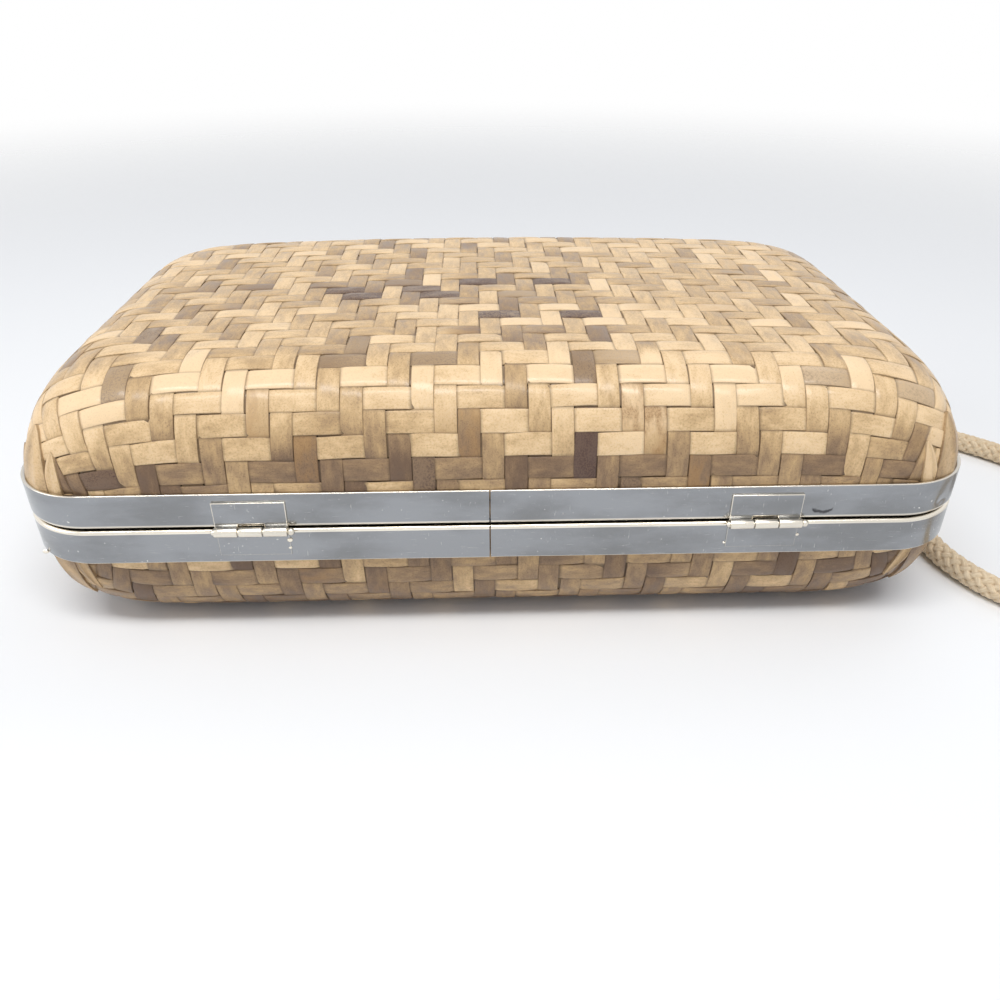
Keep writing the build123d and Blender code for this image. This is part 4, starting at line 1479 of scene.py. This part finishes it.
# %% [markdown]
# ## Clasp
# The front is not in the photograph. Bags of this kind close with a pair of round beads that
# snap past each other, one on each band. A bead could be one plain ball, but a real one is
# soldered on, so each sits on a short neck and a foot. Neck and bead are turned as one profile,
# because a seam between them would show.

# %% Clasp beads
CLASP_BALL, CLASP_SHINE = 3.0 * MM, 0.35
FOOT_WIDTH, FOOT_SHEET, FOOT_HEIGHT = 3.4 * MM, 1.2 * MM, 4.6 * MM
FOOT_EASE, FOOT_RIM = 0.35 * MM, 0.3 * MM
NECK_ROOT, NECK_WAIST, NECK_TOP, NECK_STOP, WAIST_SHARE = 1.2 * MM, 0.95 * MM, 1.05 * MM, 2.8 * MM, 0.35
BALL_START, BALL_STEPS, CLASP_SIDES = 0.36, 22, 44
CLASP_OFFSET = CLASP_BALL + 0.2 * MM


def clasp(half, side):
    """A soldered foot, a bent neck and a round bead that meets the other one."""
    x, front = -side * CLASP_OFFSET, FRAME_DEPTH / 2
    foot_start = BAND_START + BAND_HEIGHT - FOOT_HEIGHT
    low, high = sorted((PARTING + side * foot_start, PARTING + side * (foot_start + FOOT_HEIGHT)))
    foot = rounded_block((x - FOOT_WIDTH / 2, front, low), (x + FOOT_WIDTH / 2, front + FOOT_SHEET, high),
                         FOOT_EASE, FOOT_RIM)
    start = np.array([x, front + FOOT_SHEET / 2, PARTING + side * (foot_start + FOOT_WIDTH / 2)])
    end = np.array([x, front + FOOT_SHEET + CLASP_BALL, PARTING])
    length = float(np.linalg.norm(end - start))
    profile = [(0.0, POINT_RADIUS), (0.0, NECK_ROOT), (WAIST_SHARE * length, NECK_WAIST),
               (length - NECK_STOP, NECK_TOP)]
    profile += ball_profile(length, CLASP_BALL, BALL_START, math.pi, BALL_STEPS)
    neck_and_ball = evenly_worn_and_lit(*turned(profile, start, (end - start) / length, CLASP_SIDES), CLASP_SHINE)
    mesh = joined_mesh(half + "_clasp_bead", [foot, neck_and_ball], sharp=60)
    piece(mesh.name, mesh, FITTING, half, (half + "_clasp_ball",))


clasp("lid", 1)
clasp("base", -1)
print("clasp drawn")

# %% [markdown]
# ## Eyelets and knots
# The strap goes through a rolled eyelet in each end of the lower half and is knotted inside. A
# torus could stand for the eyelet, but a turned profile gives its bush and its rolled rim in one
# piece. The knot is the same braid wound in a tight coil, so it is clearly the strap's own end.

# %% Eyelets and knots
HOLE, BUSH, RIM, RIM_STEPS = 3.2 * MM, 4.0 * MM, 5.6 * MM, 8
ROLL_MIDDLE, ROLL_HALF, ROLL_RISE, HOLE_STOP = 4.4, 1.2, 0.5 * MM, 0.55 * MM
EYELET_SHINE = 0.5
KNOT_RADIUS, KNOT_COIL, KNOT_TURNS, KNOT_POINTS, KNOT_STEP = 2.55 * MM, 2.85 * MM, 1.7, 160, 0.5 * MM
KNOT_START, KNOT_LENGTH, KNOT_ANGLE = 2.75, 3.6, 0.6
COIL_OPENS, COIL_CLOSES, COIL_END, COIL_LEAST = 0.16, 0.2, 1.06, 0.25


def eyelet(side, sign):
    """A bush with a rolled rim; sign is -1 at the left end and 1 at the right."""
    profile = [(BUSH_END, HOLE), (EYELET_SEAT + HOLE_STOP, HOLE)]
    for k in range(RIM_STEPS + 1):
        a = math.pi * k / RIM_STEPS
        place = EYELET_SEAT + ROLL_RISE + ROLL_RISE * math.sin(a)
        profile.append((place, (ROLL_MIDDLE - ROLL_HALF * math.cos(a)) * MM))
    profile += [(EYELET_SEAT, RIM), (EYELET_SEAT, BUSH), (BUSH_END, BUSH), (BUSH_END, HOLE)]
    profile = [(sign * place, radius) for place, radius in profile]
    points, faces = turned(profile, (0, EYELET_Y, EYELET_Z), count=48)
    faces = faces if sign < 0 else turned_over(faces)
    mesh = joined_mesh(side + "_eyelet_ring", [evenly_worn_and_lit(points, faces, EYELET_SHINE)], sharp=55)
    piece(mesh.name, mesh, FITTING, "base", (side + "_strap_eyelet",))


def knot(side, sign):
    """The strap's end, wound in a coil that is narrow where it starts and ends."""
    turns = np.linspace(0, 1, KNOT_POINTS)
    angle = 2 * math.pi * KNOT_TURNS * turns + KNOT_ANGLE
    closing = np.clip((COIL_END - turns) / COIL_CLOSES, COIL_LEAST, 1)
    wide = KNOT_COIL * np.clip(turns / COIL_OPENS, 0, 1) * closing
    x = BUSH_END - (KNOT_START + KNOT_LENGTH * turns) * MM
    line = np.stack([sign * x, EYELET_Y + wide * np.cos(angle), EYELET_Z + wide * np.sin(angle)], axis=1)
    mesh = braid(side + "_knot_turns", *evenly(line, KNOT_STEP), KNOT_RADIUS)
    piece(mesh.name, mesh, THREAD, "base", (side + "_strap_knot",))


for side, sign in (("left", -1), ("right", 1)):
    eyelet(side, sign)
    knot(side, sign)
    print(side, "eyelet and knot drawn")
